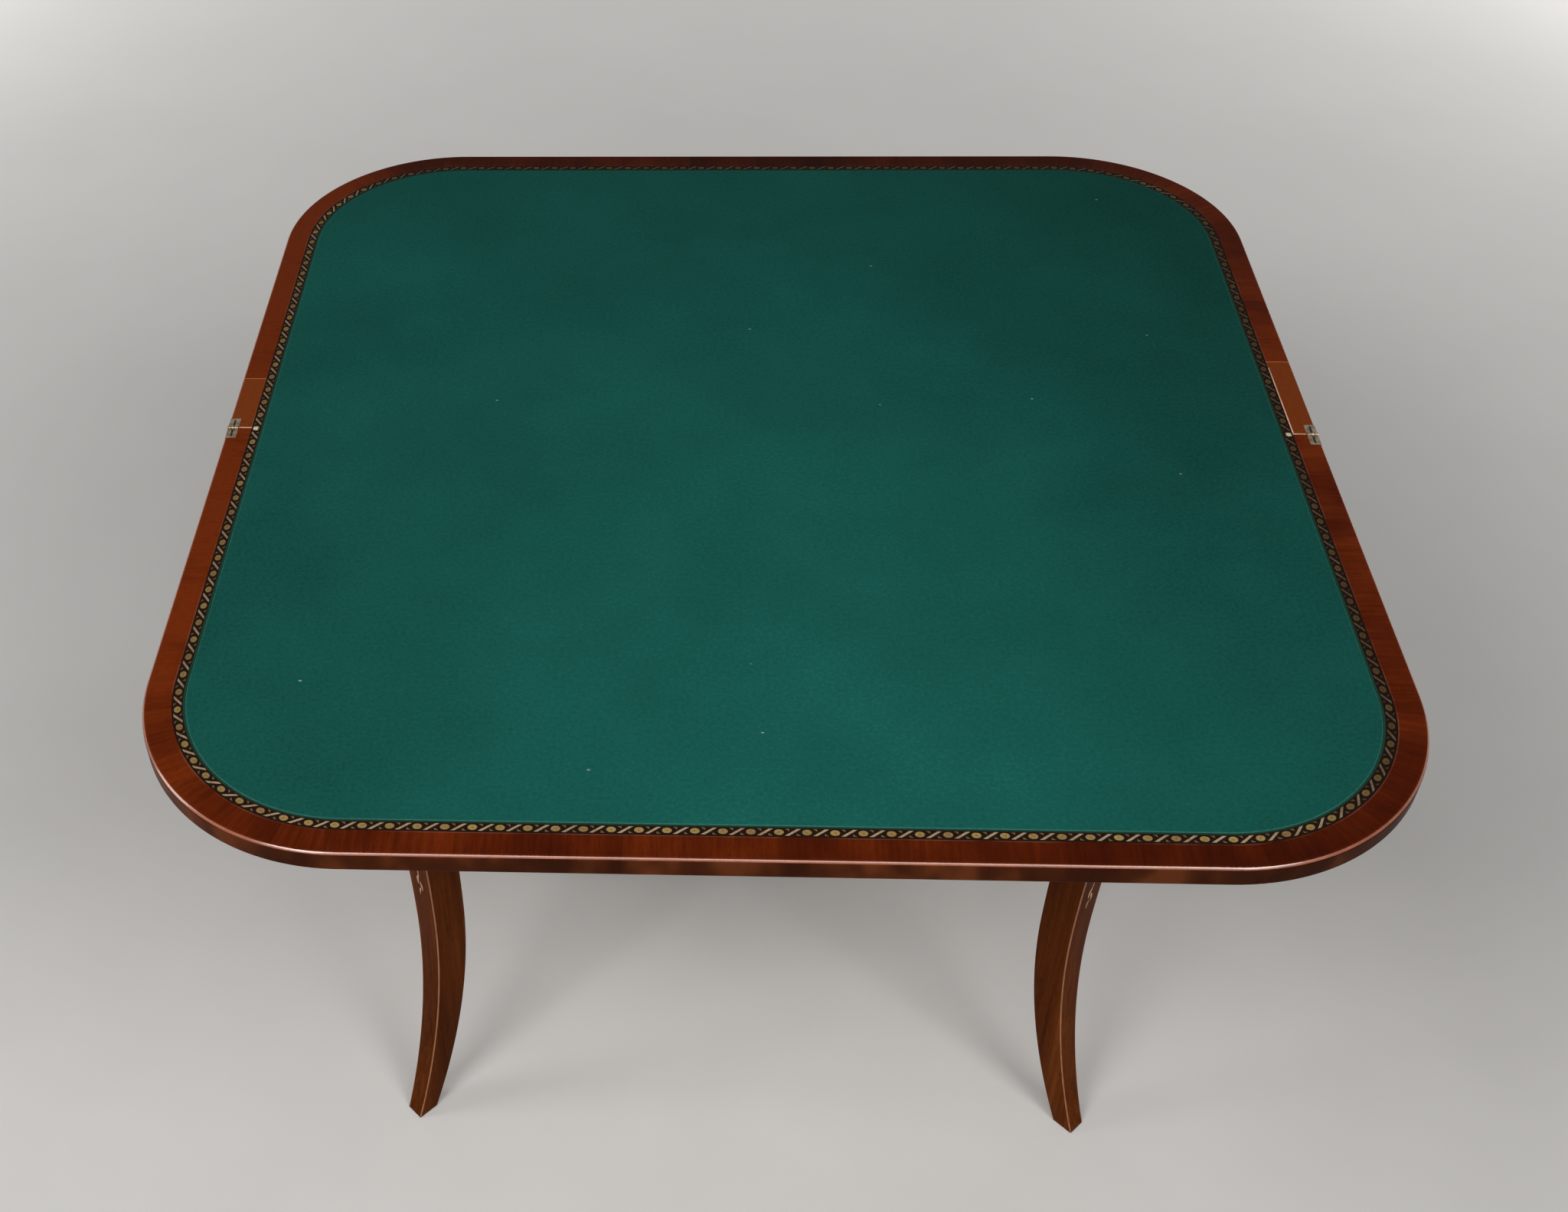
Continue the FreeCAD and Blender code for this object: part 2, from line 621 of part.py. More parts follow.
def side_lipping(name, side, facing, start, stop):
    """A straight edge on the left or right of a leaf, between two distances from the fold line."""
    x = f"{side} * ({HALF_WIDTH} - lipping_width)"
    y = f"{facing} * (({start}) + ({stop})) / 2"
    return straight_lipping(name, f"({stop}) - ({start})", x, y, 0 if side > 0 else 180)


def make_hinge(side, word):
    """One brass hinge: two plates with interleaved knuckles, a pin, and the room that the knuckles need."""
    left_end = f"{side} * {HINGE_X} - hinge_width / 2"
    across = {"turn": 90, "axis": ALONG_Y}
    spans = {
        "lower": [("0", SIDE_KNUCKLE), (f"hinge_width - {SIDE_KNUCKLE}", SIDE_KNUCKLE)],
        "flap": [(f"(hinge_width - {MIDDLE_KNUCKLE}) / 2", MIDDLE_KNUCKLE)],
    }
    bores = {"lower": "pin_radius", "flap": "pin_radius + pin_play"}
    plates = {}
    for leaf, facing in (("lower", FRONT), ("flap", REAR)):
        name = f"hinge_{leaf}_{word}"
        plate_y = "-hinge_reach" if facing == FRONT else HINGE_CLEAR
        plate_z = "table_height - plate_thickness"
        parts = [box(name + "_flat", "hinge_width", f"hinge_reach - {HINGE_CLEAR}", "plate_thickness",
                     left_end, plate_y, plate_z)]
        for number, (start, length) in enumerate(spans[leaf]):
            x = f"{left_end} + {start}"
            web_y = f"-{HINGE_CLEAR}" if facing == FRONT else "0"
            web = box(f"{name}_web_{number}", length, HINGE_CLEAR, "plate_thickness", x, web_y, plate_z)
            knuckle = cylinder(f"{name}_knuckle_{number}", "barrel_radius", length,
                               x, "0", HINGE_LEVEL, **across)
            parts += [web, knuckle]
        bore = cylinder(name + "_bore", bores[leaf], "hinge_width", left_end, "0", HINGE_LEVEL, **across)
        plates[leaf] = cut(fuse(name + "_plate", parts), bore)
    pin = cylinder(f"hinge_pin_{word}", "pin_radius", "hinge_width", left_end, "0", HINGE_LEVEL, **across)
    keep(pin, f"hinge_pin_{word}")
    room = cylinder(f"hinge_room_{word}", HINGE_CLEAR, "hinge_width + 2 * hinge_play",
                    f"{left_end} - hinge_play", "0", HINGE_LEVEL, **across)
    return plates, room


def hinge_screw_set(leaf, facing, master):
    screws = []
    for side, word in SIDES:
        for number, share in enumerate(PLATE_SCREW_SHARES):
            name = f"hinge_screw_{leaf}_{word}_{number}"
            x = f"{side} * {HINGE_X}"
            y = f"{facing} * {share} * hinge_reach"
            screws.append(copy_of(master, name, x, y, "table_height"))
    return keep(group(f"hinge_screw_set_{leaf}", screws), f"hinge_screws_{leaf}")


def make_shoes():
    """Shoes under the lower leaf: their tongues run in the guides, their ends stop against the rails."""
    screw = screw_master("shoe_screw", "wood_screw_diameter", "(shoe_height + wood_screw_bite)")
    start = f"-({INNER_Y} - stop_play)"
    bottom = f"{LEAF_BOTTOM} - shoe_height"
    blanks = {}
    screws = []
    for side, word in SIDES:
        body = new_body("shoe_blank_" + word)
        inner = f"{side} * ({GUIDE_FACE} - slide_play - shoe_width)"
        face = f"{side} * ({GUIDE_FACE} - slide_play)"
        tip = f"{side} * ({GUIDE_FACE} + groove_depth - slide_play)"
        tongue_low = f"{GROOVE_MIDDLE} - groove_height / 2 + slide_play"
        tongue_high = f"{GROOVE_MIDDLE} + groove_height / 2 - slide_play"
        section = [
            (inner, bottom), (face, bottom), (face, tongue_low), (tip, tongue_low),
            (tip, tongue_high), (face, tongue_high), (face, LEAF_BOTTOM), (inner, LEAF_BOTTOM),
        ]
        sketch = draw(body, "XZ_Plane", body.Name + "_section", section)
        pad(body, sketch, SHOE_LENGTH, backwards=True)
        place(body, y=start)
        blanks[word] = body
        middle = f"{side} * ({GUIDE_FACE} - slide_play - shoe_width / 2)"
        for number, share in enumerate(SHOE_SCREW_SHARES):
            y = f"{start} + {share} * {SHOE_LENGTH}"
            screws.append(copy_of(screw, f"shoe_screw_{word}_{number}", middle, y, bottom, 180, ALONG_X))
    screw_group = keep(group("shoe_screw_set", screws), "shoe_screws")
    for word, body in blanks.items():
        keep(cut(body, screw_group), "slide_shoe_" + word)
    return screw_group


def make_leaf(leaf, facing, hinges, hinge_screw):
    """One leaf: boards, lippings, hinge plates and hinge screws."""
    panel = make_leaf_boards(leaf, facing)
    screws = hinge_screw_set(leaf, facing, hinge_screw)
    corner_start = "leaf_depth - corner_radius"
    for side, word in SIDES:
        plates, room = hinges[word]
        keep(cut(plates[leaf], screws), f"hinge_plate_{leaf}_{word}")
        keep(corner_lipping(f"{leaf}_lipping_corner_{word}", side, facing), f"{leaf}_lipping_corner_{word}")
        if leaf == "flap":
            slip_end = f"slip_length_{word}"
            slip = side_lipping(f"flap_slip_blank_{word}", side, facing, "joint_gap / 2", slip_end)
            keep(cut(slip, room, plates[leaf], screws), f"flap_slip_{word}")
            long_edge = side_lipping(f"flap_lipping_{word}", side, facing, slip_end, corner_start)
            keep(long_edge, f"flap_lipping_{word}")
        else:
            edge = side_lipping(f"lower_lipping_blank_{word}", side, facing, "joint_gap / 2", corner_start)
            keep(cut(edge, room, plates[leaf], screws), f"lower_lipping_{word}")
    end_word = "front" if facing == FRONT else "rear"
    end_length = f"2 * ({HALF_WIDTH} - corner_radius)"
    end_y = f"{facing} * (leaf_depth - lipping_width)"
    end_edge = straight_lipping(f"{leaf}_lipping_{end_word}", end_length, "0", end_y, facing * 90)
    keep(end_edge, f"{leaf}_lipping_{end_word}")
    return panel


def make_top():
    hinges = {word: make_hinge(side, word) for side, word in SIDES}
    hinge_screw = screw_master("hinge_screw", "hinge_screw_diameter", "(plate_thickness + hinge_screw_bite)")
    shoe_screws = make_shoes()
    lower_panel = make_leaf("lower", FRONT, hinges, hinge_screw)
    keep(cut(lower_panel, shoe_screws), "lower_panel")
    keep(make_leaf("flap", REAR, hinges, hinge_screw), "flap_panel")


def check_and_write():
    """Stop on any failed feature or bad shape, then write each piece to a file of its own."""
    doc.recompute()
    failed = [thing.Name for thing in doc.Objects if {"Invalid", "Error"} & set(thing.State)]
    if failed:
        raise RuntimeError("failed features: " + ", ".join(failed))
    for node, thing in pieces:
        if thing.Shape.isNull() or not thing.Shape.isValid() or not thing.Shape.Solids:
            raise RuntimeError("bad shape: " + node)
    os.makedirs("parts", exist_ok=True)
    for node, thing in pieces:
        thing.Shape.exportStep(os.path.join("parts", node + ".step"))
        print(node, len(thing.Shape.Solids), round(thing.Shape.Volume))


fill_sheet()
guides = make_guides()
rails = make_rails(guides)
make_corners(rails)
make_well()
make_slide_felts()
make_top()
check_and_write()
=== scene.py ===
"""Dressed model of a fold-over console game table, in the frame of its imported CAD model.

Lengths are metres. X runs along the fold line, Y to the rear, Z up from the floor.
"""
import json
import math

import bmesh
import bpy
import numpy as np
from mathutils import Matrix, Vector


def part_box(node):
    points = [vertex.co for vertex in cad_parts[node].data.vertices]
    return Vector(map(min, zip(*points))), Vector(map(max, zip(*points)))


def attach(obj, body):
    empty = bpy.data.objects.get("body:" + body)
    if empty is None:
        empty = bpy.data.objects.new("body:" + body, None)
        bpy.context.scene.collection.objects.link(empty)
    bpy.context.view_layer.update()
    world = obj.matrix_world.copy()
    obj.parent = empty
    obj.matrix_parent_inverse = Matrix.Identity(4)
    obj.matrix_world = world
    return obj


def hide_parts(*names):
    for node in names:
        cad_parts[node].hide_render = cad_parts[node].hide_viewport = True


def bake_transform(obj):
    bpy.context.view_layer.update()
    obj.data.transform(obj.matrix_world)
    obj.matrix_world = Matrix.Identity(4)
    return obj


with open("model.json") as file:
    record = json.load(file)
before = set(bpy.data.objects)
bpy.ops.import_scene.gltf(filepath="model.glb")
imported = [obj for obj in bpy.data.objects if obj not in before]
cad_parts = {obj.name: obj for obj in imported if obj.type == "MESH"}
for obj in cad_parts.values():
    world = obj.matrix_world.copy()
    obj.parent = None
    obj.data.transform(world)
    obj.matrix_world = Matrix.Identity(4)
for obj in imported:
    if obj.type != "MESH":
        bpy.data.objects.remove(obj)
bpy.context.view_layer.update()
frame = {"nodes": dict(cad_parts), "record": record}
NODES = frame["nodes"]

MM = 0.001

# The top, read from the frame
RIM_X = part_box("lower_lipping_right")[1].x
LEAF_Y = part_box("flap_lipping_rear")[1].y
CORNER_RADIUS = RIM_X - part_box("flap_lipping_rear")[1].x
PANEL_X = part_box("lower_panel")[1].x
BAIZE_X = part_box("lower_baize")[1].x
TOP_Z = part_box("lower_band")[1].z
BED_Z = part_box("lower_band")[0].z
HALF_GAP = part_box("flap_band")[0].y
RIM_WIDTH = RIM_X - PANEL_X
BAND_WIDTH = PANEL_X - BAIZE_X
PANEL_Y = LEAF_Y - RIM_WIDTH
PANEL_RADIUS = CORNER_RADIUS - RIM_WIDTH
BAIZE_Y = PANEL_Y - BAND_WIDTH
BAIZE_RADIUS = PANEL_RADIUS - BAND_WIDTH
SLIP_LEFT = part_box("flap_slip_left")[1].y
SLIP_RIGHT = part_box("flap_slip_right")[1].y
HINGE_INNER_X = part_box("hinge_plate_flap_right")[0].x
HINGE_END_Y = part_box("hinge_plate_flap_right")[1].y

# The frame under the top
FRAME_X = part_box("rail_right")[1].x
FRAME_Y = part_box("rail_rear")[1].y
RAIL_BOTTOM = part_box("rail_front")[0].z
RAIL_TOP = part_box("rail_front")[1].z
LEG_WIDTH_TOP = 42 * MM
LEG_WIDTH_FOOT = 19 * MM
LEG_DEPTH_TOP = 44 * MM
LEG_DEPTH_WAIST = 34.5 * MM
LEG_DEPTH_FOOT = 22 * MM
WAIST_HEIGHT = 280 * MM
WAIST_INSET = 40 * MM
FOOT_KICK = 8 * MM
LEG_ARRIS = 0.8 * MM
CANT = LEG_WIDTH_TOP / math.sqrt(2)
LEG_FACE_X = FRAME_X - CANT / 2
LEG_FACE_Y = FRAME_Y - CANT / 2
LEG_CORNERS = {
    "front_left": (-1, -1),
    "front_right": (1, -1),
    "rear_left": (-1, 1),
    "rear_right": (1, 1),
}


# Meshes

CREASE_ANGLE = 40


def put_in_scene(name, data):
    """Makes the object of a mesh, a lamp or a lens, at the origin."""
    thing = bpy.data.objects.new(name, data)
    bpy.context.scene.collection.objects.link(thing)
    return thing


def tube_faces(rings, points, first):
    """Faces of a capped tube: quads between neighbouring rings, all round, and one polygon at each end."""
    index = first + np.arange(rings * points).reshape(rings, points)
    beside = np.roll(index, -1, axis=1)
    quads = np.stack([index[:-1], index[1:], beside[1:], beside[:-1]], axis=-1)
    return quads.reshape(-1, 4).tolist() + [index[0].tolist(), index[-1, ::-1].tolist()]


def tube_chart(chart):
    """UV of every face corner of a capped tube, in the order of tube_faces. The chart has one column more
    than the ring has points, so that the last quad does not run back to the start."""
    corners = [chart[:-1, :-1], chart[1:, :-1], chart[1:, 1:], chart[:-1, 1:]]
    quads = np.stack(corners, axis=2).reshape(-1, 2)
    return np.concatenate([quads, chart[0, :-1], chart[-1, -2::-1]])


def skin(name, tubes, finish, charts=None, crease_angle=CREASE_ANGLE):
    """One piece from closed tubes, smooth except at edges sharper than the crease angle. A tube is an array
    of rings, each a closed row of points in space."""
    faces = []
    first = 0
    for tube in tubes:
        faces += tube_faces(tube.shape[0], tube.shape[1], first)
        first += tube.shape[0] * tube.shape[1]
    points = np.concatenate([tube.reshape(-1, 3) for tube in tubes])
    mesh = bpy.data.meshes.new(name)
    mesh.from_pydata(points.tolist(), [], faces)
    if charts is not None:
        layer = mesh.uv_layers.new(name="flat")
        corners = np.concatenate([tube_chart(chart) for chart in charts])
        layer.uv.foreach_set("vector", corners.ravel())
    shell = bmesh.new()
    shell.from_mesh(mesh)
    bmesh.ops.recalc_face_normals(shell, faces=shell.faces)
    shell.to_mesh(mesh)
    shell.free()
    mesh.polygons.foreach_set("use_smooth", np.ones(len(mesh.polygons), dtype=bool))
    mesh.set_sharp_from_angle(angle=math.radians(crease_angle))
    mesh.materials.append(finish)
    return put_in_scene(name, mesh)


# Finishes

def shade(red, green, blue):
    """Linear colour of a display colour: each channel from 0 to 255 is scaled to 1 and its curve undone."""
    level = np.array([red, green, blue]) / 255
    linear = np.where(level <= 0.04045, level / 12.92, ((level + 0.055) / 1.055) ** 2.4)
    return (*linear.tolist(), 1.0)


class Nodes:
    """Adds nodes to a tree. Its calls hand back the sockets that carry their results."""

    def __init__(self, tree):
        self.tree = tree

    def feed(self, socket, value):
        """Links a socket, or sets a plain number or colour on it."""
        if isinstance(value, bpy.types.NodeSocket):
            self.tree.links.new(value, socket)
        else:
            socket.default_value = value

    def node(self, kind, inputs=None, **settings):
        """Adds a shader node, with its settings first and its inputs after them."""
        made = self.tree.nodes.new("ShaderNode" + kind)
        for key, value in settings.items():
            setattr(made, key, value)
        for key, value in (inputs or {}).items():
            self.feed(made.inputs[key], value)
        return made

    def math(self, operation, *values):
        made = self.node("Math", operation=operation)
        for socket, value in zip(made.inputs, values):
            self.feed(socket, value)
        return made.outputs[0]

    def add(self, one, two):
        return self.math("ADD", one, two)

    def less(self, one, two):
        return self.math("SUBTRACT", one, two)

    def times(self, one, two):
        return self.math("MULTIPLY", one, two)

    def larger(self, one, two):
        return self.math("MAXIMUM", one, two)

    def smaller(self, one, two):
        return self.math("MINIMUM", one, two)

    def absolute(self, value):
        return self.math("ABSOLUTE", value)

    def distance(self, x, y):
        """Root of the sum of two squares."""
        return self.math("SQRT", self.add(self.times(x, x), self.times(y, y)))

    def weighed(self, *parts):
        """Sum of values, each times its weight."""
        terms = [self.times(value, weight) for value, weight in parts]
        total = terms[0]
        for term in terms[1:]:
            total = self.add(total, term)
        return total

    def between(self, value, start, end, low, high):
        """Straight run from low to high as a value goes from start to end, level beyond them."""
        return self.node("MapRange", {0: value, 1: start, 2: end, 3: low, 4: high}).outputs[0]

    def inside(self, distance, soft):
        """1 where a signed distance is below zero, 0 above, with a soft step between."""
        limits = {0: distance, 1: -soft, 2: soft, 3: 1.0, 4: 0.0}
        return self.node("MapRange", limits, interpolation_type="SMOOTHSTEP").outputs[0]

    def below(self, value, limit, soft):
        """1 where a value is under a limit, 0 over it, with a soft step between."""
        return self.inside(self.less(value, limit), soft)

    def above(self, value, limit, soft):
        """1 where a value is over a limit, 0 under it, with a soft step between."""
        return self.inside(self.less(limit, value), soft)

    def within(self, value, low, high, soft):
        """1 where a value lies between two limits, with soft steps at both."""
        middle = (low + high) / 2
        reach = (high - low) / 2
        return self.below(self.absolute(self.less(value, middle)), reach, soft)

    def mix(self, share, one, two):
        made = self.node("Mix", data_type="RGBA")
        self.feed(made.inputs[0], share)
        self.feed(made.inputs[6], one)
        self.feed(made.inputs[7], two)
        return made.outputs[2]

    def stain(self, base, mask, strength, colour):
        """Lays a colour over a base where a mask is 1, at a strength from 0 to 1."""
        return self.mix(self.times(mask, strength), base, colour)

    def ramp(self, value, stops):
        """Colour that runs through (place, colour) stops as the value goes from 0 to 1."""
        made = self.node("ValToRGB", {0: value})
        elements = made.color_ramp.elements
        elements[0].position, elements[0].color = stops[0]
        elements[1].position, elements[1].color = stops[-1]
        for place, colour in stops[1:-1]:
            elements.new(place).color = colour
        return made.outputs[0]

    def place(self):
        """Object coordinates as one vector."""
        return self.node("TexCoord").outputs["Object"]

    def flat(self):
        """The piece's own UV map, in metres."""
        return self.node("UVMap", uv_map="flat").outputs[0]

    def split(self, vector):
        return self.node("SeparateXYZ", {0: vector}).outputs

    def join(self, x, y, z):
        return self.node("CombineXYZ", {0: x, 1: y, 2: z}).outputs[0]

    def stretch(self, vector, scale):
        return self.node("VectorMath", {0: vector, 1: scale}, operation="MULTIPLY").outputs[0]

    def noise(self, vector, waves, detail, roughness=0.55, distortion=0.0):
        """Noise with a number of waves per metre along each axis."""
        made = self.node("TexNoise", {"Vector": self.stretch(vector, waves), "Scale": 1.0, "Detail": detail,
                                      "Roughness": roughness, "Distortion": distortion})
        return made.outputs[0]


class Look(Nodes):
    """A material in the making."""

    def __init__(self, name):
        self.material = bpy.data.materials.new(name)
        self.material.use_nodes = True
        super().__init__(self.material.node_tree)
        self.shader = self.tree.nodes["Principled BSDF"]

    def set(self, **inputs):
        """Sets the shader's own sockets, with _ for a space in a socket's name."""
        for key, value in inputs.items():
            self.feed(self.shader.inputs[key.replace("_", " ")], value)

    def bump(self, height, strength, distance):
        """Relief of a height that goes from 0 to 1 over a distance."""
        made = self.node("Bump", {"Height": height, "Strength": strength, "Distance": distance})
        self.feed(self.shader.inputs["Normal"], made.outputs[0])


GRAIN_DEPTH = 0.1 * MM
SCRATCH_DEPTH = 0.05 * MM
PORE_SOFT = 0.05
QUARTER_JUMP_X = 3.17
QUARTER_JUMP_Y = 7.31


def rounded_inset(look, x, y, half_x, half_y, radius):
    """Distance inwards from a rounded rectangle's outline, and how far out in the corner a place lies.

    A rounded rectangle is a smaller rectangle grown by the corner radius. The inset is the radius less the
    distance to the smaller rectangle.
    """
    over_x = look.larger(look.less(look.absolute(x), half_x - radius), 0.0)
    over_y = look.larger(look.less(look.absolute(y), half_y - radius), 0.0)
    return look.less(radius, look.distance(over_x, over_y)), over_x, over_y


def rim_place(look, x, y):
    """Place on the top counted along its outline, with and without a jump at each quarter, and inwards.

    The run is the length along the side, the corner's turn times its radius, and the length along the end.
    """
    inset, over_x, over_y = rounded_inset(look, x, y, RIM_X, LEAF_Y, CORNER_RADIUS)
    side = look.smaller(look.absolute(y), LEAF_Y - CORNER_RADIUS)
    turn = look.times(look.math("ARCTAN2", over_y, over_x), CORNER_RADIUS)
    end = look.larger(look.less(RIM_X - CORNER_RADIUS, look.absolute(x)), 0.0)
    run = look.add(look.add(side, turn), end)
    hand_x = look.math("SIGN", x)
    hand_y = look.math("SIGN", y)
    quarter = look.weighed((hand_x, QUARTER_JUMP_X), (hand_y, QUARTER_JUMP_Y))
    return look.add(run, quarter), run, inset


def polish(look, gloss=0.05, shine=0.006, haze=0.16):
    """A rubbed polish: a thin clear coat over the wood, and the wood's own shine."""
    look.set(Coat_Weight=gloss, Coat_Roughness=haze, Specular_IOR_Level=shine)


def wood_surface(look, wood, streak, pores, smooth, uneven, relief):
    """Sets a wood's colour, a roughness that follows its streaks, and a relief of streaks and pores."""
    look.set(Base_Color=wood, Roughness=look.add(smooth, look.times(streak, uneven)))
    look.bump(look.weighed((streak, 0.4), (pores, 0.6)), relief, GRAIN_DEPTH)


# Places on the top where painted light and shade change the rim's tone, and the reach of the soft steps there
SIDE_FROM = 370 * MM
SIDE_STEP = 60 * MM
HAND_STEP = 200 * MM
SHORT_STEP = 10 * MM
LIGHTER_FROM = -350 * MM
LIGHTER_TO = 100 * MM
FAR_FROM = 110 * MM
FRONT_FROM = -420 * MM
FRONT_STEP = 20 * MM
REAR_FROM = 410 * MM
REAR_STEP = 30 * MM


def rim_painted_light_and_shade(look, x, y):
    """Painted light and shade on the rim by its place on the top: how much lighter its veneer is made.

    Painted light makes the sides lighter, more so to the rear, and less on the right both in front of the
    fold line and well behind it. Painted shade makes the front darker, most of all at its right.
    """
    on_side = look.above(look.absolute(x), SIDE_FROM, SIDE_STEP)
    on_right = look.above(x, 0.0, HAND_STEP)
    near_right = look.times(on_right, look.below(y, 0.0, SHORT_STEP))
    far_right = look.times(on_right, look.above(y, FAR_FROM, SHORT_STEP))
    to_rear = look.between(y, LIGHTER_FROM, LIGHTER_TO, low=0.16, high=0.36)
    lighter = look.weighed((to_rear, 1.0), (near_right, -0.19), (far_right, -0.24))
    front = look.below(y, FRONT_FROM, FRONT_STEP)
    darker = look.add(look.times(on_right, 0.07), 0.03)
    return look.less(look.times(on_side, lighter), look.times(front, darker))


def crossband_finish(name, dark, middle, light, slip_length=None):
    """Mahogany laid across the rim in short leaves of veneer.

    Each leaf has its own depth of colour. Streaks and pores run across the rim, close together along it.
    Painted light and shade vary the tone by place, and painted shade darkens the rear. The outer edge is
    worn, and the upright face is darker, for its end grain and as painted shade. Glue shows here and there at
    the inner edge, and a short lipping ends in a light seam.
    """
    leaves_per_metre = 9.0
    worn_width = 2.2 * MM
    worn_soft = 1.6 * MM
    glue_start = RIM_WIDTH - 0.9 * MM
    glue_end = RIM_WIDTH - 0.1 * MM
    glue_soft = 0.25 * MM
    upright_width = 0.7 * MM
    upright_soft = 0.5 * MM
    seam_width = 0.9 * MM
    seam_soft = 0.3 * MM
    look = Look(name)
    x, y, height = look.split(look.place())
    far_run, run, inset = rim_place(look, x, y)
    leaf = look.node("TexVoronoi", {"W": far_run, "Scale": leaves_per_metre}, voronoi_dimensions="1D")
    leaf_tone = look.split(leaf.outputs["Color"])[0]
    depth = look.add(inset, height)
    broad = look.noise(look.join(far_run, depth, 0), (26, 14, 1), detail=2)
    streak = look.noise(look.join(far_run, depth, 4), (260, 16, 1), detail=4)
    pores = look.noise(look.join(far_run, depth, 9), (1900, 150, 1), detail=1)
    tone = look.weighed((leaf_tone, 0.16), (broad, 0.52), (streak, 0.36))
    # Painted light and shade by place on the top
    tone = look.add(tone, rim_painted_light_and_shade(look, x, y))
    wood = look.ramp(tone, [(0.30, dark), (0.52, middle), (0.76, light)])
    pore = look.above(pores, limit=0.62, soft=PORE_SOFT)
    wood = look.stain(wood, pore, 0.35, shade(36, 9, 2))
    worn = look.below(inset, worn_width, worn_soft)
    wood = look.stain(wood, worn, 0.10, shade(150, 84, 44))
    glue = look.within(inset, glue_start, glue_end, glue_soft)
    glue = look.times(glue, look.above(broad, limit=0.5, soft=0.12))
    wood = look.stain(wood, glue, 0.22, shade(138, 98, 86))
    # Painted shade: the rear of the rim darker
    rear = look.above(y, REAR_FROM, REAR_STEP)
    wood = look.stain(wood, rear, 0.42, shade(20, 4, 0))
    # Upright outer face darker: its end grain, and painted shade
    upright = look.below(inset, upright_width, upright_soft)
    edge_stops = [(0.38, shade(42, 17, 5)), (0.50, shade(62, 29, 11)), (0.62, shade(96, 50, 24))]
    wood = look.stain(wood, upright, 0.76, look.ramp(broad, edge_stops))
    if slip_length:
        seam = look.above(run, slip_length - seam_width, seam_soft)
        wood = look.stain(wood, seam, 0.7, shade(205, 120, 60))
    wood_surface(look, wood, streak, pores, smooth=0.24, uneven=0.16, relief=0.10)
    polish(look)
    return look.material


def mahogany_finish(name, grain_axis, dark, middle, light):
    """Straight-grained mahogany: noise drawn out along the grain for streaks, shorter for dark pores."""
    look = Look(name)
    place = look.place()

    def drawn_out(along, across):
        return [along if axis == grain_axis else across for axis in "xyz"]

    broad = look.noise(place, drawn_out(1.6, 16), detail=2, distortion=0.3)
    streak = look.noise(place, drawn_out(7, 210), detail=5, roughness=0.6)
    pores = look.noise(place, drawn_out(70, 1500), detail=1)
    tone = look.weighed((broad, 0.55), (streak, 0.5))
    wood = look.ramp(tone, [(0.34, dark), (0.54, middle), (0.74, light)])
    pore = look.above(pores, limit=0.64, soft=PORE_SOFT)
    wood = look.stain(wood, pore, 0.4, shade(24, 7, 3))
    wood_surface(look, wood, streak, pores, smooth=0.26, uneven=0.18, relief=0.12)
    polish(look, gloss=0.02, shine=0.005)
    return look.material


def panel_finish():
    """Figured veneer of the closed top and the underside: flame bands warped by noise inside a light line."""
    line_width = 1.6 * MM
    line_soft = 0.15 * MM
    look = Look("figured_veneer")
    place = look.place()
    x, y, _ = look.split(place)
    inset = rounded_inset(look, x, y, RIM_X, LEAF_Y, CORNER_RADIUS)[0]
    warp = look.noise(place, (2.2, 3.4, 1), detail=3, distortion=0.6)
    flame = look.math("SINE", look.weighed((y, 46.0), (warp, 15.0)))
    streak = look.noise(place, (9, 260, 9), detail=5, roughness=0.6)
    pores = look.noise(place, (90, 1700, 90), detail=1)
    tone = look.weighed((look.add(flame, 1.0), 0.20), (streak, 0.5))
    stops = [(0.15, shade(70, 24, 8)), (0.42, shade(112, 46, 16)), (0.75, shade(150, 74, 30))]
    wood = look.ramp(tone, stops)
    pore = look.above(pores, limit=0.63, soft=PORE_SOFT)
    wood = look.stain(wood, pore, 0.4, shade(40, 12, 4))
    line = look.within(inset, RIM_WIDTH, RIM_WIDTH + line_width, line_soft)
    wood = look.mix(line, wood, shade(206, 160, 104))
    wood_surface(look, wood, streak, pores, smooth=0.22, uneven=0.16, relief=0.08)
    polish(look)
    return look.material


def pale_wood_finish(name, dark, light, layers=False):
    """Plain pale wood for what stays inside: fine streaks along X, flecks, and glue layers in plywood."""
    layer_pitch = 2 * MM
    streak_depth = 0.15 * MM
    look = Look(name)
    place = look.place()
    streak = look.noise(place, (8, 190, 190), detail=5, roughness=0.6)
    flecks = look.noise(place, (160, 900, 500), detail=1)
    wood = look.ramp(streak, [(0.3, dark), (0.7, light)])
    fleck = look.above(flecks, limit=0.64, soft=0.04)
    wood = look.stain(wood, fleck, 0.35, dark)
    if layers:
        height = look.split(place)[2]
        wave = look.math("SINE", look.times(height, 2 * math.pi / layer_pitch))
        facing_up = look.split(look.node("NewGeometry").outputs["Normal"])[2]
        on_edge = look.less(1.0, look.absolute(facing_up))
        layer = look.times(look.inside(wave, soft=0.2), on_edge)
        wood = look.stain(wood, layer, 0.5, shade(110, 76, 44))
    look.set(Base_Color=wood, Roughness=look.add(0.45, look.times(streak, 0.2)))
    look.bump(streak, 0.12, streak_depth)
    return look.material


def metal_finish(name, colour, tarnish, roughness):
    """Metal with a clouded tarnish and fine scratches."""
    look = Look(name)
    place = look.place()
    cloud = look.noise(place, (240, 240, 240), detail=4)
    scratch = look.noise(place, (2600, 300, 2600), detail=2)
    clouded = look.ramp(cloud, [(0.35, tarnish), (0.62, colour)])
    look.set(Metallic=1.0, Base_Color=clouded)
    look.set(Roughness=look.add(roughness, look.times(scratch, 0.2)))
    look.bump(scratch, 0.15, SCRATCH_DEPTH)
    return look.material


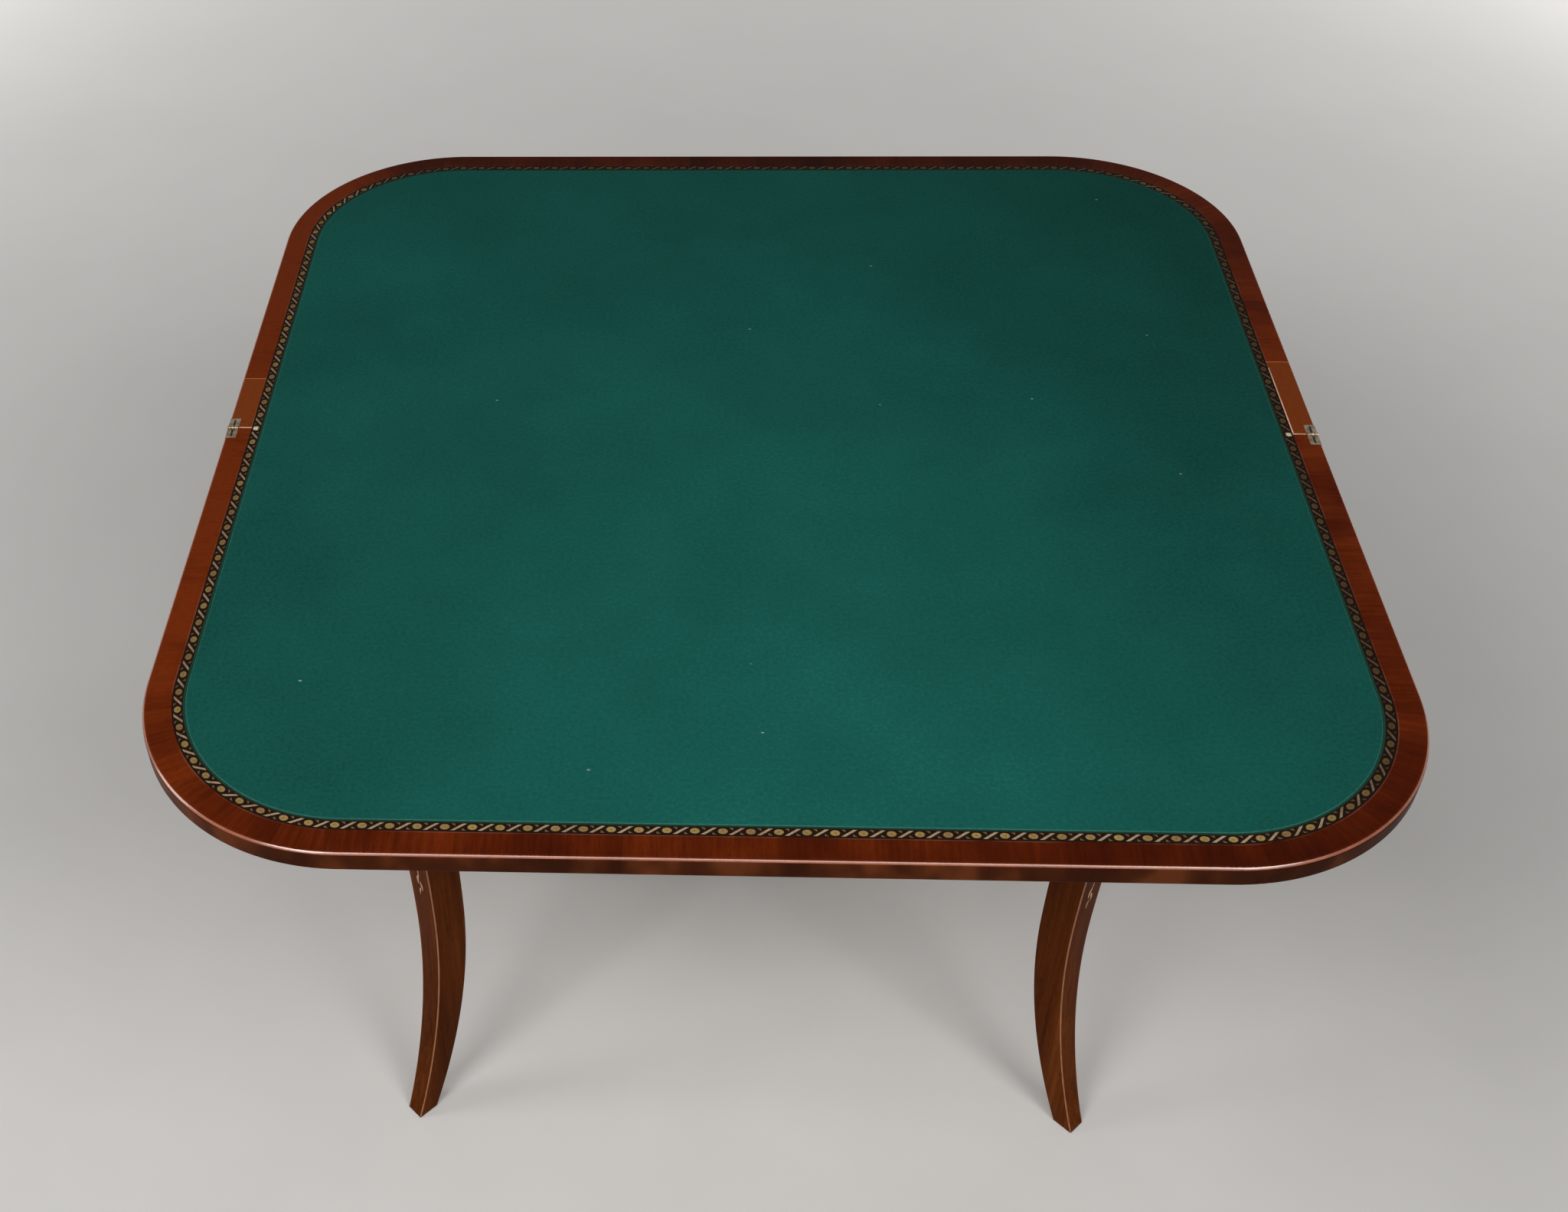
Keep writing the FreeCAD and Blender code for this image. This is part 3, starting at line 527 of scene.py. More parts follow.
def baize_finish():
    """Napped wool baize: a weave under a fuzz of fibres, and slow clouds where the nap lies differently.

    Painted shade makes it darker to the rear, to the right and at the near left. It carries lint, and its cut
    edge is a paler fuzzy line.
    """
    thread_pitch = 0.9 * MM
    rear_shade_run = (-300 * MM, 450 * MM)
    right_shade_run = (80 * MM, 380 * MM)
    left_shade_run = (-80 * MM, -380 * MM)
    near_shade_run = (250 * MM, -380 * MM)
    edge_width = 0.8 * MM
    edge_soft = 0.5 * MM
    nap_depth = 0.25 * MM
    look = Look("green_baize")
    flat = look.flat()
    x, y, _ = look.split(flat)
    cloud = look.noise(flat, (7, 7, 0), detail=4, roughness=0.6)
    nap = look.noise(flat, (330, 360, 0), detail=4, roughness=0.75)
    fibre = look.noise(flat, (1500, 2600, 0), detail=2)
    warp = look.math("SINE", look.times(x, 2 * math.pi / thread_pitch))
    weft = look.math("SINE", look.times(y, 2 * math.pi / thread_pitch))
    weave = look.times(warp, weft)
    tone = look.weighed((cloud, 0.30), (nap, 0.52), (fibre, 0.18))
    # Painted shade: darker to the rear, to the right, and at the near left
    rear = look.between(y, *rear_shade_run, low=0.0, high=0.13)
    right = look.between(x, *right_shade_run, low=0.0, high=0.17)
    left = look.between(x, *left_shade_run, low=0.0, high=1.0)
    near = look.between(y, *near_shade_run, low=0.0, high=0.19)
    darker = look.add(right, look.times(left, near))
    tone = look.less(look.less(tone, rear), darker)
    stops = [(0.10, shade(6, 50, 43)), (0.30, shade(12, 69, 61)), (0.50, shade(19, 86, 77))]
    wool = look.ramp(tone, stops + [(0.70, shade(29, 103, 92))])
    spread = look.stretch(flat, (0.7, 1.3, 0.0))
    lint = look.node("TexVoronoi", {"Vector": spread, "Scale": 13.0}, voronoi_dimensions="2D")
    fleck = look.below(lint.outputs["Distance"], limit=look.times(nap, 0.018), soft=0.005)
    chosen = look.above(look.split(lint.outputs["Color"])[0], limit=0.86, soft=0.01)
    wool = look.stain(wool, look.times(fleck, chosen), 0.6, shade(170, 190, 182))
    inset = rounded_inset(look, x, y, BAIZE_X, BAIZE_Y, BAIZE_RADIUS)[0]
    edge = look.times(look.below(inset, edge_width, edge_soft), nap)
    wool = look.stain(wool, edge, 0.55, shade(84, 132, 112))
    look.set(Base_Color=wool, Roughness=0.95, Specular_IOR_Level=0.1)
    look.set(Sheen_Weight=0.08, Sheen_Roughness=0.5, Sheen_Tint=shade(70, 150, 130))
    height = look.weighed((nap, 0.6), (weave, 0.05), (fibre, 0.3))
    look.bump(height, 0.35, nap_depth)
    return look.material


def felt_finish():
    """Dark pressed felt: matted fibres at two sizes."""
    mat_depth = 0.4 * MM
    look = Look("slide_felt_wool")
    place = look.place()
    mat = look.noise(place, (600, 600, 600), detail=5, roughness=0.7)
    hair = look.noise(place, (2400, 900, 2400), detail=2)
    tone = look.weighed((mat, 0.7), (hair, 0.3))
    wool = look.ramp(tone, [(0.35, shade(20, 38, 30)), (0.65, shade(52, 78, 62))])
    look.set(Base_Color=wool, Roughness=0.97, Specular_IOR_Level=0.1)
    look.set(Sheen_Weight=0.2, Sheen_Roughness=0.5)
    look.bump(tone, 0.5, mat_depth)
    return look.material


def inlay_finish(name, dark, light, gloss=0.15, shine=0.3, haze=0.16):
    """Pale inlay wood with faint streaks along Z and a polish."""
    look = Look(name)
    place = look.place()
    streak = look.noise(place, (500, 500, 24), detail=4)
    wear = look.noise(place, (70, 70, 40), detail=3)
    tone = look.weighed((streak, 0.5), (wear, 0.5))
    wood = look.ramp(tone, [(0.35, dark), (0.62, light)])
    look.set(Base_Color=wood, Roughness=look.add(0.14 + haze, look.times(wear, 0.2)))
    look.bump(streak, 0.06, SCRATCH_DEPTH)
    polish(look, gloss, shine, haze)
    return look.material


def outline_length(half_x, depth, radius, start):
    """Length of a leaf's outline between its ends, which lie a start distance from the fold line: two sides,
    two quarter circles and the long edge."""
    return 2 * (depth - start - radius) + math.pi * radius + 2 * (half_x - radius)


BAND_LENGTH = outline_length(PANEL_X, PANEL_Y, PANEL_RADIUS, HALF_GAP)
BAND_PITCH = 17.92 * MM
BAND_REPEAT = BAND_LENGTH / round(BAND_LENGTH / BAND_PITCH)
BAND_MIDDLE = 4.1 * MM
BAND_REACH = 2.85 * MM
BAND_SLOPE = 0.74
BAND_SOFT = 0.12 * MM
STRAND_HALF = 1.0 * MM
STUB_HALF = 0.85 * MM
STUB_FROM = 0.13
STUB_GAP = 0.60 * MM
DOT_LENGTH = 3.1 * MM
DOT_WIDTH = 2.3 * MM
# Where painted shade darkens the border at the sides and the rear
SHADE_SIDE_FROM = 360 * MM
SHADE_REAR_FROM = 380 * MM
SHADE_REAR_STEP = 40 * MM
FUZZ_START = BAND_WIDTH - 0.8 * MM
FUZZ_RAGGED = 1.2 * MM
FUZZ_SOFT = 0.5 * MM
CHIP_LENGTH = 3.4 * MM
CHIP_SOFT = 0.3 * MM
CHIP_ACROSS = (-2.6 * MM, 1.2 * MM)
CHIP_SIDE_SOFT = 0.5 * MM


def band_finish():
    """Plaited border: two cream strands cross once in each repeat round gold dots, on a black ground.

    In a repeat from -1/2 to 1/2, the strand on top is a straight slant cut off level with the edges, and the
    one below is its mirror image, hidden but for a stub at each end. The dots are ellipses at the ends of the
    repeat. Painted shade darkens the border at the rear and the sides, most on the right. Fuzz of the baize
    lies along its inner edge, and its ends are chipped.
    """
    look = Look("border_band_inlay")
    flat = look.flat()
    along, inwards, _ = look.split(flat)
    cell = look.math("DIVIDE", along, BAND_REPEAT)
    turn = look.less(look.math("FRACT", cell), 0.5)
    middle = look.absolute(turn)
    across = look.less(inwards, BAND_MIDDLE)
    slant = look.times(turn, BAND_REPEAT * BAND_SLOPE)
    too_far = look.less(look.absolute(across), BAND_REACH)
    over = look.less(look.absolute(look.less(across, slant)), STRAND_HALF)
    over = look.larger(over, too_far)
    under = look.less(look.absolute(look.add(across, slant)), STUB_HALF)
    under = look.larger(under, too_far)
    under = look.larger(under, look.times(look.less(STUB_FROM, middle), BAND_REPEAT))
    stub = look.smaller(look.inside(under, BAND_SOFT), look.above(over, STUB_GAP, BAND_SOFT))
    dot_x = look.times(look.less(0.5, middle), BAND_REPEAT / DOT_LENGTH)
    dot_y = look.math("DIVIDE", across, DOT_WIDTH)
    dot = look.distance(dot_x, dot_y)
    number = look.math("FLOOR", look.add(cell, 0.5))
    luck = look.node("TexWhiteNoise", {"W": number}, noise_dimensions="1D").outputs[0]
    wear = look.noise(flat, (900, 900, 0), detail=3)
    gold = look.mix(luck, shade(158, 132, 78), shade(134, 104, 68))
    cream = look.mix(luck, shade(172, 148, 120), shade(150, 124, 96))
    wood = look.mix(look.below(dot, limit=1.0, soft=0.07), shade(30, 19, 12), gold)
    dot_heart = look.below(dot, limit=0.3, soft=0.2)
    wood = look.stain(wood, dot_heart, 0.6, shade(122, 86, 50))
    wood = look.mix(stub, wood, shade(112, 88, 64))
    wood = look.mix(look.inside(over, BAND_SOFT), wood, cream)
    worn = look.below(wear, limit=0.42, soft=0.06)
    wood = look.stain(wood, worn, 0.5, shade(40, 24, 15))
    x, y, _ = look.split(look.place())
    # Painted shade: the border darker at the sides, most on the right, and at the rear
    right = look.times(look.above(x, SHADE_SIDE_FROM, SIDE_STEP), 0.76)
    left = look.times(look.below(x, -SHADE_SIDE_FROM, SIDE_STEP), 0.26)
    rear = look.times(look.above(y, SHADE_REAR_FROM, SHADE_REAR_STEP), 0.74)
    painted_side_shade = look.larger(look.larger(right, left), rear)
    wood = look.mix(painted_side_shade, wood, shade(26, 15, 9))
    fuzz_start = look.less(FUZZ_START, look.times(wear, FUZZ_RAGGED))
    fuzz = look.above(inwards, fuzz_start, FUZZ_SOFT)
    wood = look.stain(wood, fuzz, 0.7, shade(22, 70, 58))
    from_end = look.smaller(along, look.less(BAND_LENGTH, along))
    chip = look.below(from_end, look.times(wear, CHIP_LENGTH), CHIP_SOFT)
    chip = look.times(chip, look.within(across, *CHIP_ACROSS, CHIP_SIDE_SOFT))
    wood = look.stain(wood, chip, 0.85, shade(226, 208, 184))
    look.set(Base_Color=wood, Roughness=look.add(0.28, look.times(wear, 0.2)))
    look.bump(wear, 0.05, SCRATCH_DEPTH)
    polish(look)
    return look.material


LEG_SHADES = (shade(64, 27, 7), shade(95, 45, 14), shade(121, 64, 24))
EDGE_HIGHLIGHT_SHADES = (shade(118, 52, 24), shade(146, 74, 40))
BAIZE = baize_finish()
BAND = band_finish()
FELT = felt_finish()
STRINGING = inlay_finish("boxwood_stringing", shade(142, 84, 46), shade(176, 116, 72))
SPRIG = inlay_finish("marquetry_sprig", shade(186, 132, 84), shade(222, 178, 128))
# Painted highlight: the edge strip is lighter than the rim to show the highlight on the rounded edge
EDGE_HIGHLIGHT = inlay_finish("edge_highlight_line", *EDGE_HIGHLIGHT_SHADES, gloss=0.8, shine=0.5, haze=0.10)
# Pale strips: along the joint they are painted highlight on the joint's arris; along the right slip a pale
# line
PALE_LINE = inlay_finish("pale_line_and_joint_highlight", shade(196, 142, 118), shade(226, 180, 158))
LEG_WOOD = mahogany_finish("leg_mahogany_polished", "z", *LEG_SHADES)


# The soft top

FOLD_HALF = 0.6 * MM
FOLD_ROWS = 5
CLOTH_ROWS = 40
CLOTH_COLUMNS = 61
CLOTH_CREASE = 60
ARC_STEPS = 40
STRAIGHT_STEPS = 24


def rounded_half_width(y, half_x, half_y, radius):
    """Half-width of a rounded rectangle at y: full on the straight part, and in the corner zone the circle's
    half-chord added to the straight part of the end."""
    over = np.clip(np.abs(y) - (half_y - radius), 0, radius)
    return half_x - radius + np.sqrt(radius ** 2 - over ** 2)


def edge_distance(x, y, half_x, half_y, radius):
    """Distance inwards from a rounded rectangle's outline: the radius less the distance to its inner core."""
    over_x = np.maximum(np.abs(x) - (half_x - radius), 0)
    over_y = np.maximum(np.abs(y) - (half_y - radius), 0)
    return radius - np.hypot(over_x, over_y)


def baize_sheet():
    """One cloth over both leaves: rows across the table, each a loop of its upper side and its underside.

    The cut edge is rounded: the upper side drops by a square law over the last fraction of a millimetre.
    """
    drop = 0.4 * MM
    round_width = 0.9 * MM
    edge_steps = np.array([0.2, 0.45, 0.9]) * MM
    last_step = 2 * MM
    inner_margin = 4 * MM
    straight_start = 0.7 * MM
    corner_start = BAIZE_Y - BAIZE_RADIUS
    corner = corner_start + BAIZE_RADIUS * np.sin(np.linspace(0, math.pi / 2, CLOTH_ROWS))
    straight = np.linspace(straight_start, corner_start, CLOTH_ROWS)[:-1]
    fold = np.linspace(0, FOLD_HALF, FOLD_ROWS)
    rear = np.unique(np.concatenate([fold, straight, corner, BAIZE_Y - edge_steps]))
    rows = np.concatenate([-rear[:0:-1], rear])
    margin = np.concatenate([[0], edge_steps, [last_step]])
    half = rounded_half_width(rows, BAIZE_X, BAIZE_Y, BAIZE_RADIUS)[:, None]
    inner = np.linspace(-1, 1, CLOTH_COLUMNS)[None, :] * (half - inner_margin)
    x = np.concatenate([-half + margin, inner, half - margin[::-1]], axis=1)
    y = np.broadcast_to(rows[:, None], x.shape)
    nearness = np.clip(1 - edge_distance(x, y, BAIZE_X, BAIZE_Y, BAIZE_RADIUS) / round_width, 0, 1)
    upper = np.stack([x, y, TOP_Z - drop * nearness ** 2], axis=-1)
    lower = np.stack([x, y, np.full_like(x, BED_Z)], axis=-1)[:, ::-1]
    ring = np.concatenate([upper, lower], axis=1)
    chart = np.concatenate([ring, ring[:, :1]], axis=1)[:, :, :2]
    return skin("baize_sheet", [ring], BAIZE, [chart], CLOTH_CREASE)


def leaf_outline(half_x, depth, radius, start):
    """Outline of the near leaf from the left end of the fold line round to the right end, anticlockwise from
    above: points, inward directions and length run so far. Straight runs and quarter circles are joined."""
    end_x = half_x - radius
    end_y = depth - radius
    mirror = np.array([-1, 1])
    quarter = np.linspace(0, math.pi / 2, ARC_STEPS)[1:-1]
    round_off = np.stack([np.cos(quarter), np.sin(quarter)], 1)
    left = np.stack([np.full(STRAIGHT_STEPS, -half_x), np.linspace(-start, -end_y, STRAIGHT_STEPS)], 1)
    turn = np.array([-end_x, -end_y]) - radius * round_off
    front = np.stack([np.linspace(-end_x, end_x, STRAIGHT_STEPS), np.full(STRAIGHT_STEPS, -depth)], 1)
    points = np.concatenate([left, turn, front, turn[::-1] * mirror, left[::-1] * mirror])
    inward_left = np.tile([1.0, 0.0], (STRAIGHT_STEPS, 1))
    inward_front = np.tile([0.0, 1.0], (STRAIGHT_STEPS, 1))
    inward_right = [round_off[::-1] * mirror, inward_left * mirror]
    inward = np.concatenate([inward_left, round_off, inward_front, *inward_right])
    side = end_y - start
    run_left = np.linspace(0, side, STRAIGHT_STEPS)
    run_turn = side + radius * quarter
    run_front = side + math.pi / 2 * radius + np.linspace(0, 2 * end_x, STRAIGHT_STEPS)
    total = outline_length(half_x, depth, radius, start)
    run = np.concatenate([run_left, run_turn, run_front, total - run_turn[::-1], total - run_left[::-1]])
    return points, inward, run


def carried_round(outline, across, up, half_turn):
    """Rings of a section carried round a leaf: each outline point moves inwards by the section's widths, at
    its heights. The far leaf's rings are the near one's turned half round in plan."""
    points, inward, _ = outline
    plan = points[:, None, :] + across[None, :, None] * inward[:, None, :]
    height = np.broadcast_to(up, plan.shape[:2])
    return np.concatenate([plan * (-1 if half_turn else 1), height[:, :, None]], axis=-1)


def border_band(name, half_turn):
    """Inlaid border strip: a flat section with eased upper edges, carried round a leaf."""
    ease = 0.12 * MM
    across = np.array([0, 0, ease, BAND_WIDTH - ease, BAND_WIDTH, BAND_WIDTH])
    up = np.array([BED_Z, TOP_Z - ease, TOP_Z, TOP_Z, TOP_Z - ease, BED_Z])
    outline = leaf_outline(PANEL_X, PANEL_Y, PANEL_RADIUS, HALF_GAP)
    ring = carried_round(outline, across, up, half_turn)
    run = outline[2]
    chart = np.stack(np.broadcast_arrays(run[:, None], np.append(across, 0.0)[None, :]), axis=-1)
    return skin(name, [ring], BAND, [chart])


EDGE_ROUND = 3 * MM
EDGE_HIGHLIGHT_GAP = 0.4 * MM


def edge_highlight(name, half_turn):
    """Strip let into a leaf's rounded upper edge, lighter than the rim as a painted highlight and glossy to
    catch
    the lamps: its section follows the round, flattened by half a sine wave, and is carried round the leaf
    from hinge to hinge."""
    first_angle = 31
    angle_span = 34
    section_steps = 11
    proud = 0.14 * MM
    flattened = 0.08 * MM
    sunk = 0.5 * MM
    share = np.linspace(0, 1, section_steps)
    turn = np.radians(first_angle + angle_span * share)
    outer = EDGE_ROUND + proud - flattened * np.sin(math.pi * share)
    inner = EDGE_ROUND - sunk
    across = EDGE_ROUND - np.concatenate([outer * np.cos(turn), inner * np.cos(turn[::-1])])
    up = TOP_Z - EDGE_ROUND + np.concatenate([outer * np.sin(turn), inner * np.sin(turn[::-1])])
    outline = leaf_outline(RIM_X, LEAF_Y, CORNER_RADIUS, HINGE_END_Y + EDGE_HIGHLIGHT_GAP)
    return skin(name, [carried_round(outline, across, up, half_turn)], EDGE_HIGHLIGHT)


BAR_POINTS = 24


def bar(name, low, high, finish, ease):
    """Straight strip along its longest side: a rectangle with eased corners carried from end to end."""
    low = np.array(low)
    high = np.array(high)
    size = high - low
    long = int(np.argmax(size))
    first, second = [axis for axis in range(3) if axis != long]
    angle = np.linspace(0, 2 * math.pi, BAR_POINTS, endpoint=False) + math.pi / BAR_POINTS
    cosine = np.cos(angle)
    sine = np.sin(angle)
    loop_first = np.where(cosine > 0, high[first] - ease, low[first] + ease) + ease * cosine
    loop_second = np.where(sine > 0, high[second] - ease, low[second] + ease) + ease * sine
    steps = np.array([0, ease, size[long] - ease, size[long]])
    pull = np.array([0.5, 1, 1, 0.5]) * ease - ease
    ring = np.empty((len(steps), BAR_POINTS, 3))
    ring[:, :, long] = (low[long] + steps)[:, None]
    ring[:, :, first] = loop_first[None, :] + pull[:, None] * np.sign(cosine)
    ring[:, :, second] = loop_second[None, :] + pull[:, None] * np.sign(sine)
    return skin(name, [ring], finish)


# The legs

LEG_ROWS = 70
ARRIS_STEPS = 6


def bow(z, waist_x, end_x, end_z):
    """Arc that stands upright at the waist and passes through an end point: x is the waist's x plus the
    radius less the root of radius squared minus height from the waist squared."""
    rise = end_x - waist_x
    radius = (rise ** 2 + (end_z - WAIST_HEIGHT) ** 2) / (2 * rise)
    return waist_x + radius - np.sqrt(radius ** 2 - (z - WAIST_HEIGHT) ** 2)


def leg_profile(z, foot_x, waist_x, top_x):
    """Sabre curve: one bow from foot to waist, one from waist to rail, upright behind the rails."""
    below = bow(np.minimum(z, WAIST_HEIGHT), waist_x, foot_x, 0.0)
    above = bow(np.clip(z, WAIST_HEIGHT, RAIL_BOTTOM), waist_x, top_x, RAIL_BOTTOM)
    return np.where(z < WAIST_HEIGHT, below, above)


def leg_front(z):
    return leg_profile(z, FOOT_KICK, -WAIST_INSET, 0.0)


def leg_back(z):
    return leg_profile(z, FOOT_KICK - LEG_DEPTH_FOOT, -WAIST_INSET - LEG_DEPTH_WAIST, -LEG_DEPTH_TOP)


def leg_half_width(z):
    """Straight taper from foot to rail, even above."""
    share = np.minimum(z / RAIL_BOTTOM, 1)
    return (LEG_WIDTH_FOOT + (LEG_WIDTH_TOP - LEG_WIDTH_FOOT) * share) / 2


def on_leg(corner, outward, sideways, z):
    """Places points given in a leg's own directions: outwards on the diagonal, sideways on its face, up."""
    sign_x, sign_y = LEG_CORNERS[corner]
    slant = math.sqrt(0.5)
    x = sign_x * (LEG_FACE_X + slant * outward) - sign_y * slant * sideways
    y = sign_y * (LEG_FACE_Y + slant * outward) + sign_x * slant * sideways
    return np.stack(np.broadcast_arrays(x, y, z), axis=-1)


def sabre_leg(corner):
    """Leg: a rectangle with eased corners whose sides follow the front bow, the back bow and the taper."""
    foot_ease = 0.7 * MM
    foot_ease_height = 1.0 * MM
    second_row = 6 * MM
    rows = np.linspace(second_row, RAIL_BOTTOM, LEG_ROWS)
    z = np.concatenate([[0, foot_ease_height], rows, [RAIL_TOP]])[:, None]
    quarter = np.linspace(0, math.pi / 2, ARRIS_STEPS)
    angle = np.concatenate([quarter + turn * math.pi / 2 for turn in range(4)])[None, :]
    is_front = np.repeat([True, False, False, True], ARRIS_STEPS)[None, :]
    is_left = np.repeat([True, True, False, False], ARRIS_STEPS)[None, :]
    foot_pull = np.zeros_like(z)
    foot_pull[0] = foot_ease
    front = leg_front(z) - LEG_ARRIS - foot_pull
    back = leg_back(z) + LEG_ARRIS + foot_pull
    side = leg_half_width(z) - LEG_ARRIS - foot_pull
    outward = np.where(is_front, front, back) + LEG_ARRIS * np.cos(angle)
    sideways = np.where(is_left, side, -side) + LEG_ARRIS * np.sin(angle)
    return skin("sabre_leg_" + corner, [on_leg(corner, outward, sideways, z)], LEG_WOOD)


STRING_WIDTH = 0.95 * MM
STRING_PROUD = 0.05 * MM
STRING_SUNK = 0.45 * MM
STRING_START = 2 * MM


def leg_stringing(corner):
    """Pale lines let into both front arrises: an angle section that follows the eased arris up the leg."""
    z = np.concatenate([np.linspace(STRING_START, RAIL_BOTTOM, LEG_ROWS), [RAIL_TOP]])[:, None]
    quarter = np.linspace(0, math.pi / 2, ARRIS_STEPS)
    arc = LEG_ARRIS + STRING_PROUD
    out = np.concatenate([[STRING_PROUD], arc * np.cos(quarter) - LEG_ARRIS, [-STRING_WIDTH],
                          [-STRING_WIDTH, -STRING_SUNK, -STRING_SUNK]])[None, :]
    side = np.concatenate([[-STRING_WIDTH], arc * np.sin(quarter) - LEG_ARRIS, [STRING_PROUD],
                           [-STRING_SUNK, -STRING_SUNK, -STRING_WIDTH]])[None, :]
    outward = leg_front(z) + out
    tubes = [on_leg(corner, outward, hand * (leg_half_width(z) + side), z) for hand in (-1, 1)]
    return skin("leg_stringing_" + corner, tubes, STRINGING)


SPRIG_LOW = 345 * MM
SPRIG_HIGH = 712 * MM
SPRIG_PITCH = 84 * MM
SPRIG_SWAY = 3.4 * MM
SWAY_FADE = 50 * MM
STEM_STEPS = 120
STEM_HALF = 0.55 * MM
FIRST_LEAF = SPRIG_LOW + 18 * MM
LAST_LEAF = SPRIG_HIGH - 16 * MM
LEAF_STEPS = 15
LEAF_LENGTH = 15 * MM
LEAF_HALF = 2.1 * MM
LEAF_TIP = 0.15 * MM
CURL_STEPS = 40
CURL_TURN = 3.1 * math.pi
CURL_CLOSE = 3.9 * math.pi
CURL_RADIUS = 4.6 * MM
CURL_OUT = 6.4 * MM
CURL_UP = 6.5 * MM
CURL_HALF = 0.38 * MM
TAIL_DROPS = (0 * MM, 9 * MM, 19 * MM)
TAIL_LENGTHS = (15 * MM, 13 * MM, 11 * MM)
TAIL_HALVES = (1.3 * MM, 1.05 * MM, 0.8 * MM)
TAIL_TIP = 0.12 * MM


def sprig_stem(z):
    """The stem's sideways sway: a sine along the leg that dies away at the lower end."""
    sway = SPRIG_SWAY * np.sin(2 * math.pi * (z - SPRIG_LOW) / SPRIG_PITCH)
    return sway * np.clip((z - SPRIG_LOW) / SWAY_FADE, 0, 1)


def sprig_strokes():
    """Strokes of a trailing sprig on the leg's face, each as a line of (sideways, up) and its half-width.

    The stem sways; leaves leave it on alternate sides; tendrils curl as shrinking spirals; three slim leaves
    hang under it. A leaf's line is bent as a parabola, and its width is half a sine wave leaning to its base.
    """
    stem_z = np.linspace(SPRIG_LOW, SPRIG_HIGH, STEM_STEPS)
    strokes = [(np.stack([sprig_stem(stem_z), stem_z], 1), np.full(STEM_STEPS, STEM_HALF))]
    share = np.linspace(0, 1, LEAF_STEPS)
    for number, start in enumerate(np.arange(FIRST_LEAF, LAST_LEAF, SPRIG_PITCH / 4)):
        hand = 1 if number % 2 else -1
        base = np.array([sprig_stem(start), start])
        sweep = hand * (0.80 * share - 0.22 * share ** 2)
        rise = 0.55 * share + 0.25 * share ** 2
        leaf = base + LEAF_LENGTH * np.stack([sweep, rise], 1)
        strokes.append((leaf, LEAF_TIP + LEAF_HALF * np.sin(math.pi * share ** 0.85)))
        if number % 2 == 0:
            spin = np.linspace(0, CURL_TURN, CURL_STEPS)
            radius = CURL_RADIUS * (1 - spin / CURL_CLOSE)
            centre = base + np.array([-hand * CURL_OUT, CURL_UP])
            curl = np.stack([hand * radius * np.cos(spin), radius * np.sin(spin)], 1)
            strokes.append((centre + curl, np.full(CURL_STEPS, CURL_HALF)))
    for number, (drop, length, half) in enumerate(zip(TAIL_DROPS, TAIL_LENGTHS, TAIL_HALVES)):
        hand = 1 if number % 2 else -1
        sweep = hand * length * (0.50 * share - 0.34 * share ** 2)
        tail = np.stack([sweep, SPRIG_LOW - drop - length * share], 1)
        strokes.append((tail, TAIL_TIP + half * np.sin(math.pi * share ** 0.7)))
    return strokes


def leg_sprig(corner):
    """Marquetry: every stroke is a thin strip, its width set square to its line, bent onto the leg's face."""
    tubes = []
    depth = np.array([STRING_PROUD, STRING_PROUD, -STRING_SUNK, -STRING_SUNK])[None, :]
    for line, half_width in sprig_strokes():
        along = np.gradient(line, axis=0)
        along /= np.linalg.norm(along, axis=1, keepdims=True)
        square = np.stack([-along[:, 1], along[:, 0]], 1)
        edge = half_width[:, None] * square
        plan = np.stack([line - edge, line + edge, line + edge, line - edge], axis=1)
        sideways = plan[:, :, 0]
        z = plan[:, :, 1]
        tubes.append(on_leg(corner, leg_front(z) + depth, sideways, z))
    return skin("leg_sprig_" + corner, tubes, SPRIG)


# Assembly

baize = baize_sheet()
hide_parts("lower_baize", "flap_baize")
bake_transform(baize)

LEAVES = (("lower", "lower_leaf", False), ("flap", "flap", True))
for leaf, body, half_turn in LEAVES:
    strip = border_band(leaf + "_band_inlay", half_turn)
    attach(strip, body)
    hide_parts(leaf + "_band")

# Lighter glossy strips on the rounded upper edges: painted highlight
for leaf, body, half_turn in LEAVES:
    line = edge_highlight("edge_highlight_" + leaf, half_turn)
    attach(line, body)

FELT_EASE = 0.45 * MM
for node in ("slide_felt_front", "slide_felt_rear"):
    low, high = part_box(node)
    strip = bar(node + "_strip", low, high, FELT, FELT_EASE)
    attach(strip, "base")
    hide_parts(node)

for corner in LEG_CORNERS:
    leg = sabre_leg(corner)
    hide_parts("leg_" + corner)
    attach(leg, "base")
    for inlay in (leg_stringing(corner), leg_sprig(corner)):
        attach(inlay, "base")

LINE_BOTTOM = TOP_Z - 0.5 * MM
LINE_TOP = TOP_Z + 0.06 * MM
LINE_EASE = 0.1 * MM
JOINT_HIGHLIGHT_END = HALF_GAP + 1.3 * MM
SLIP_LINE_X = PANEL_X + 1.0 * MM
SLIP_LINE_START = HALF_GAP + 2 * MM
SLIP_LINE_END = SLIP_RIGHT - 9 * MM
# Near-black bars in the hinge slots: painted shadow of the recessed slots, not tarnish
HINGE_SLOT = metal_finish("hinge_slot_shadow", (0.05, 0.04, 0.03, 1), (0.02, 0.015, 0.01, 1), 0.5)
SLOT_HALF = 0.9 * MM
SLOT_START = 2.4 * MM
SLOT_END = 11 * MM
SLOT_TOP = TOP_Z + 0.04 * MM


def let_in_bar(name, x_ends, y_ends, top, finish, body):
    """Bar let into a leaf between two x and two y, up to a height just over the leaf."""
    low = (min(x_ends), min(y_ends), LINE_BOTTOM)
    high = (max(x_ends), max(y_ends), top)
    strip = bar(name, low, high, finish, LINE_EASE)
    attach(strip, body)


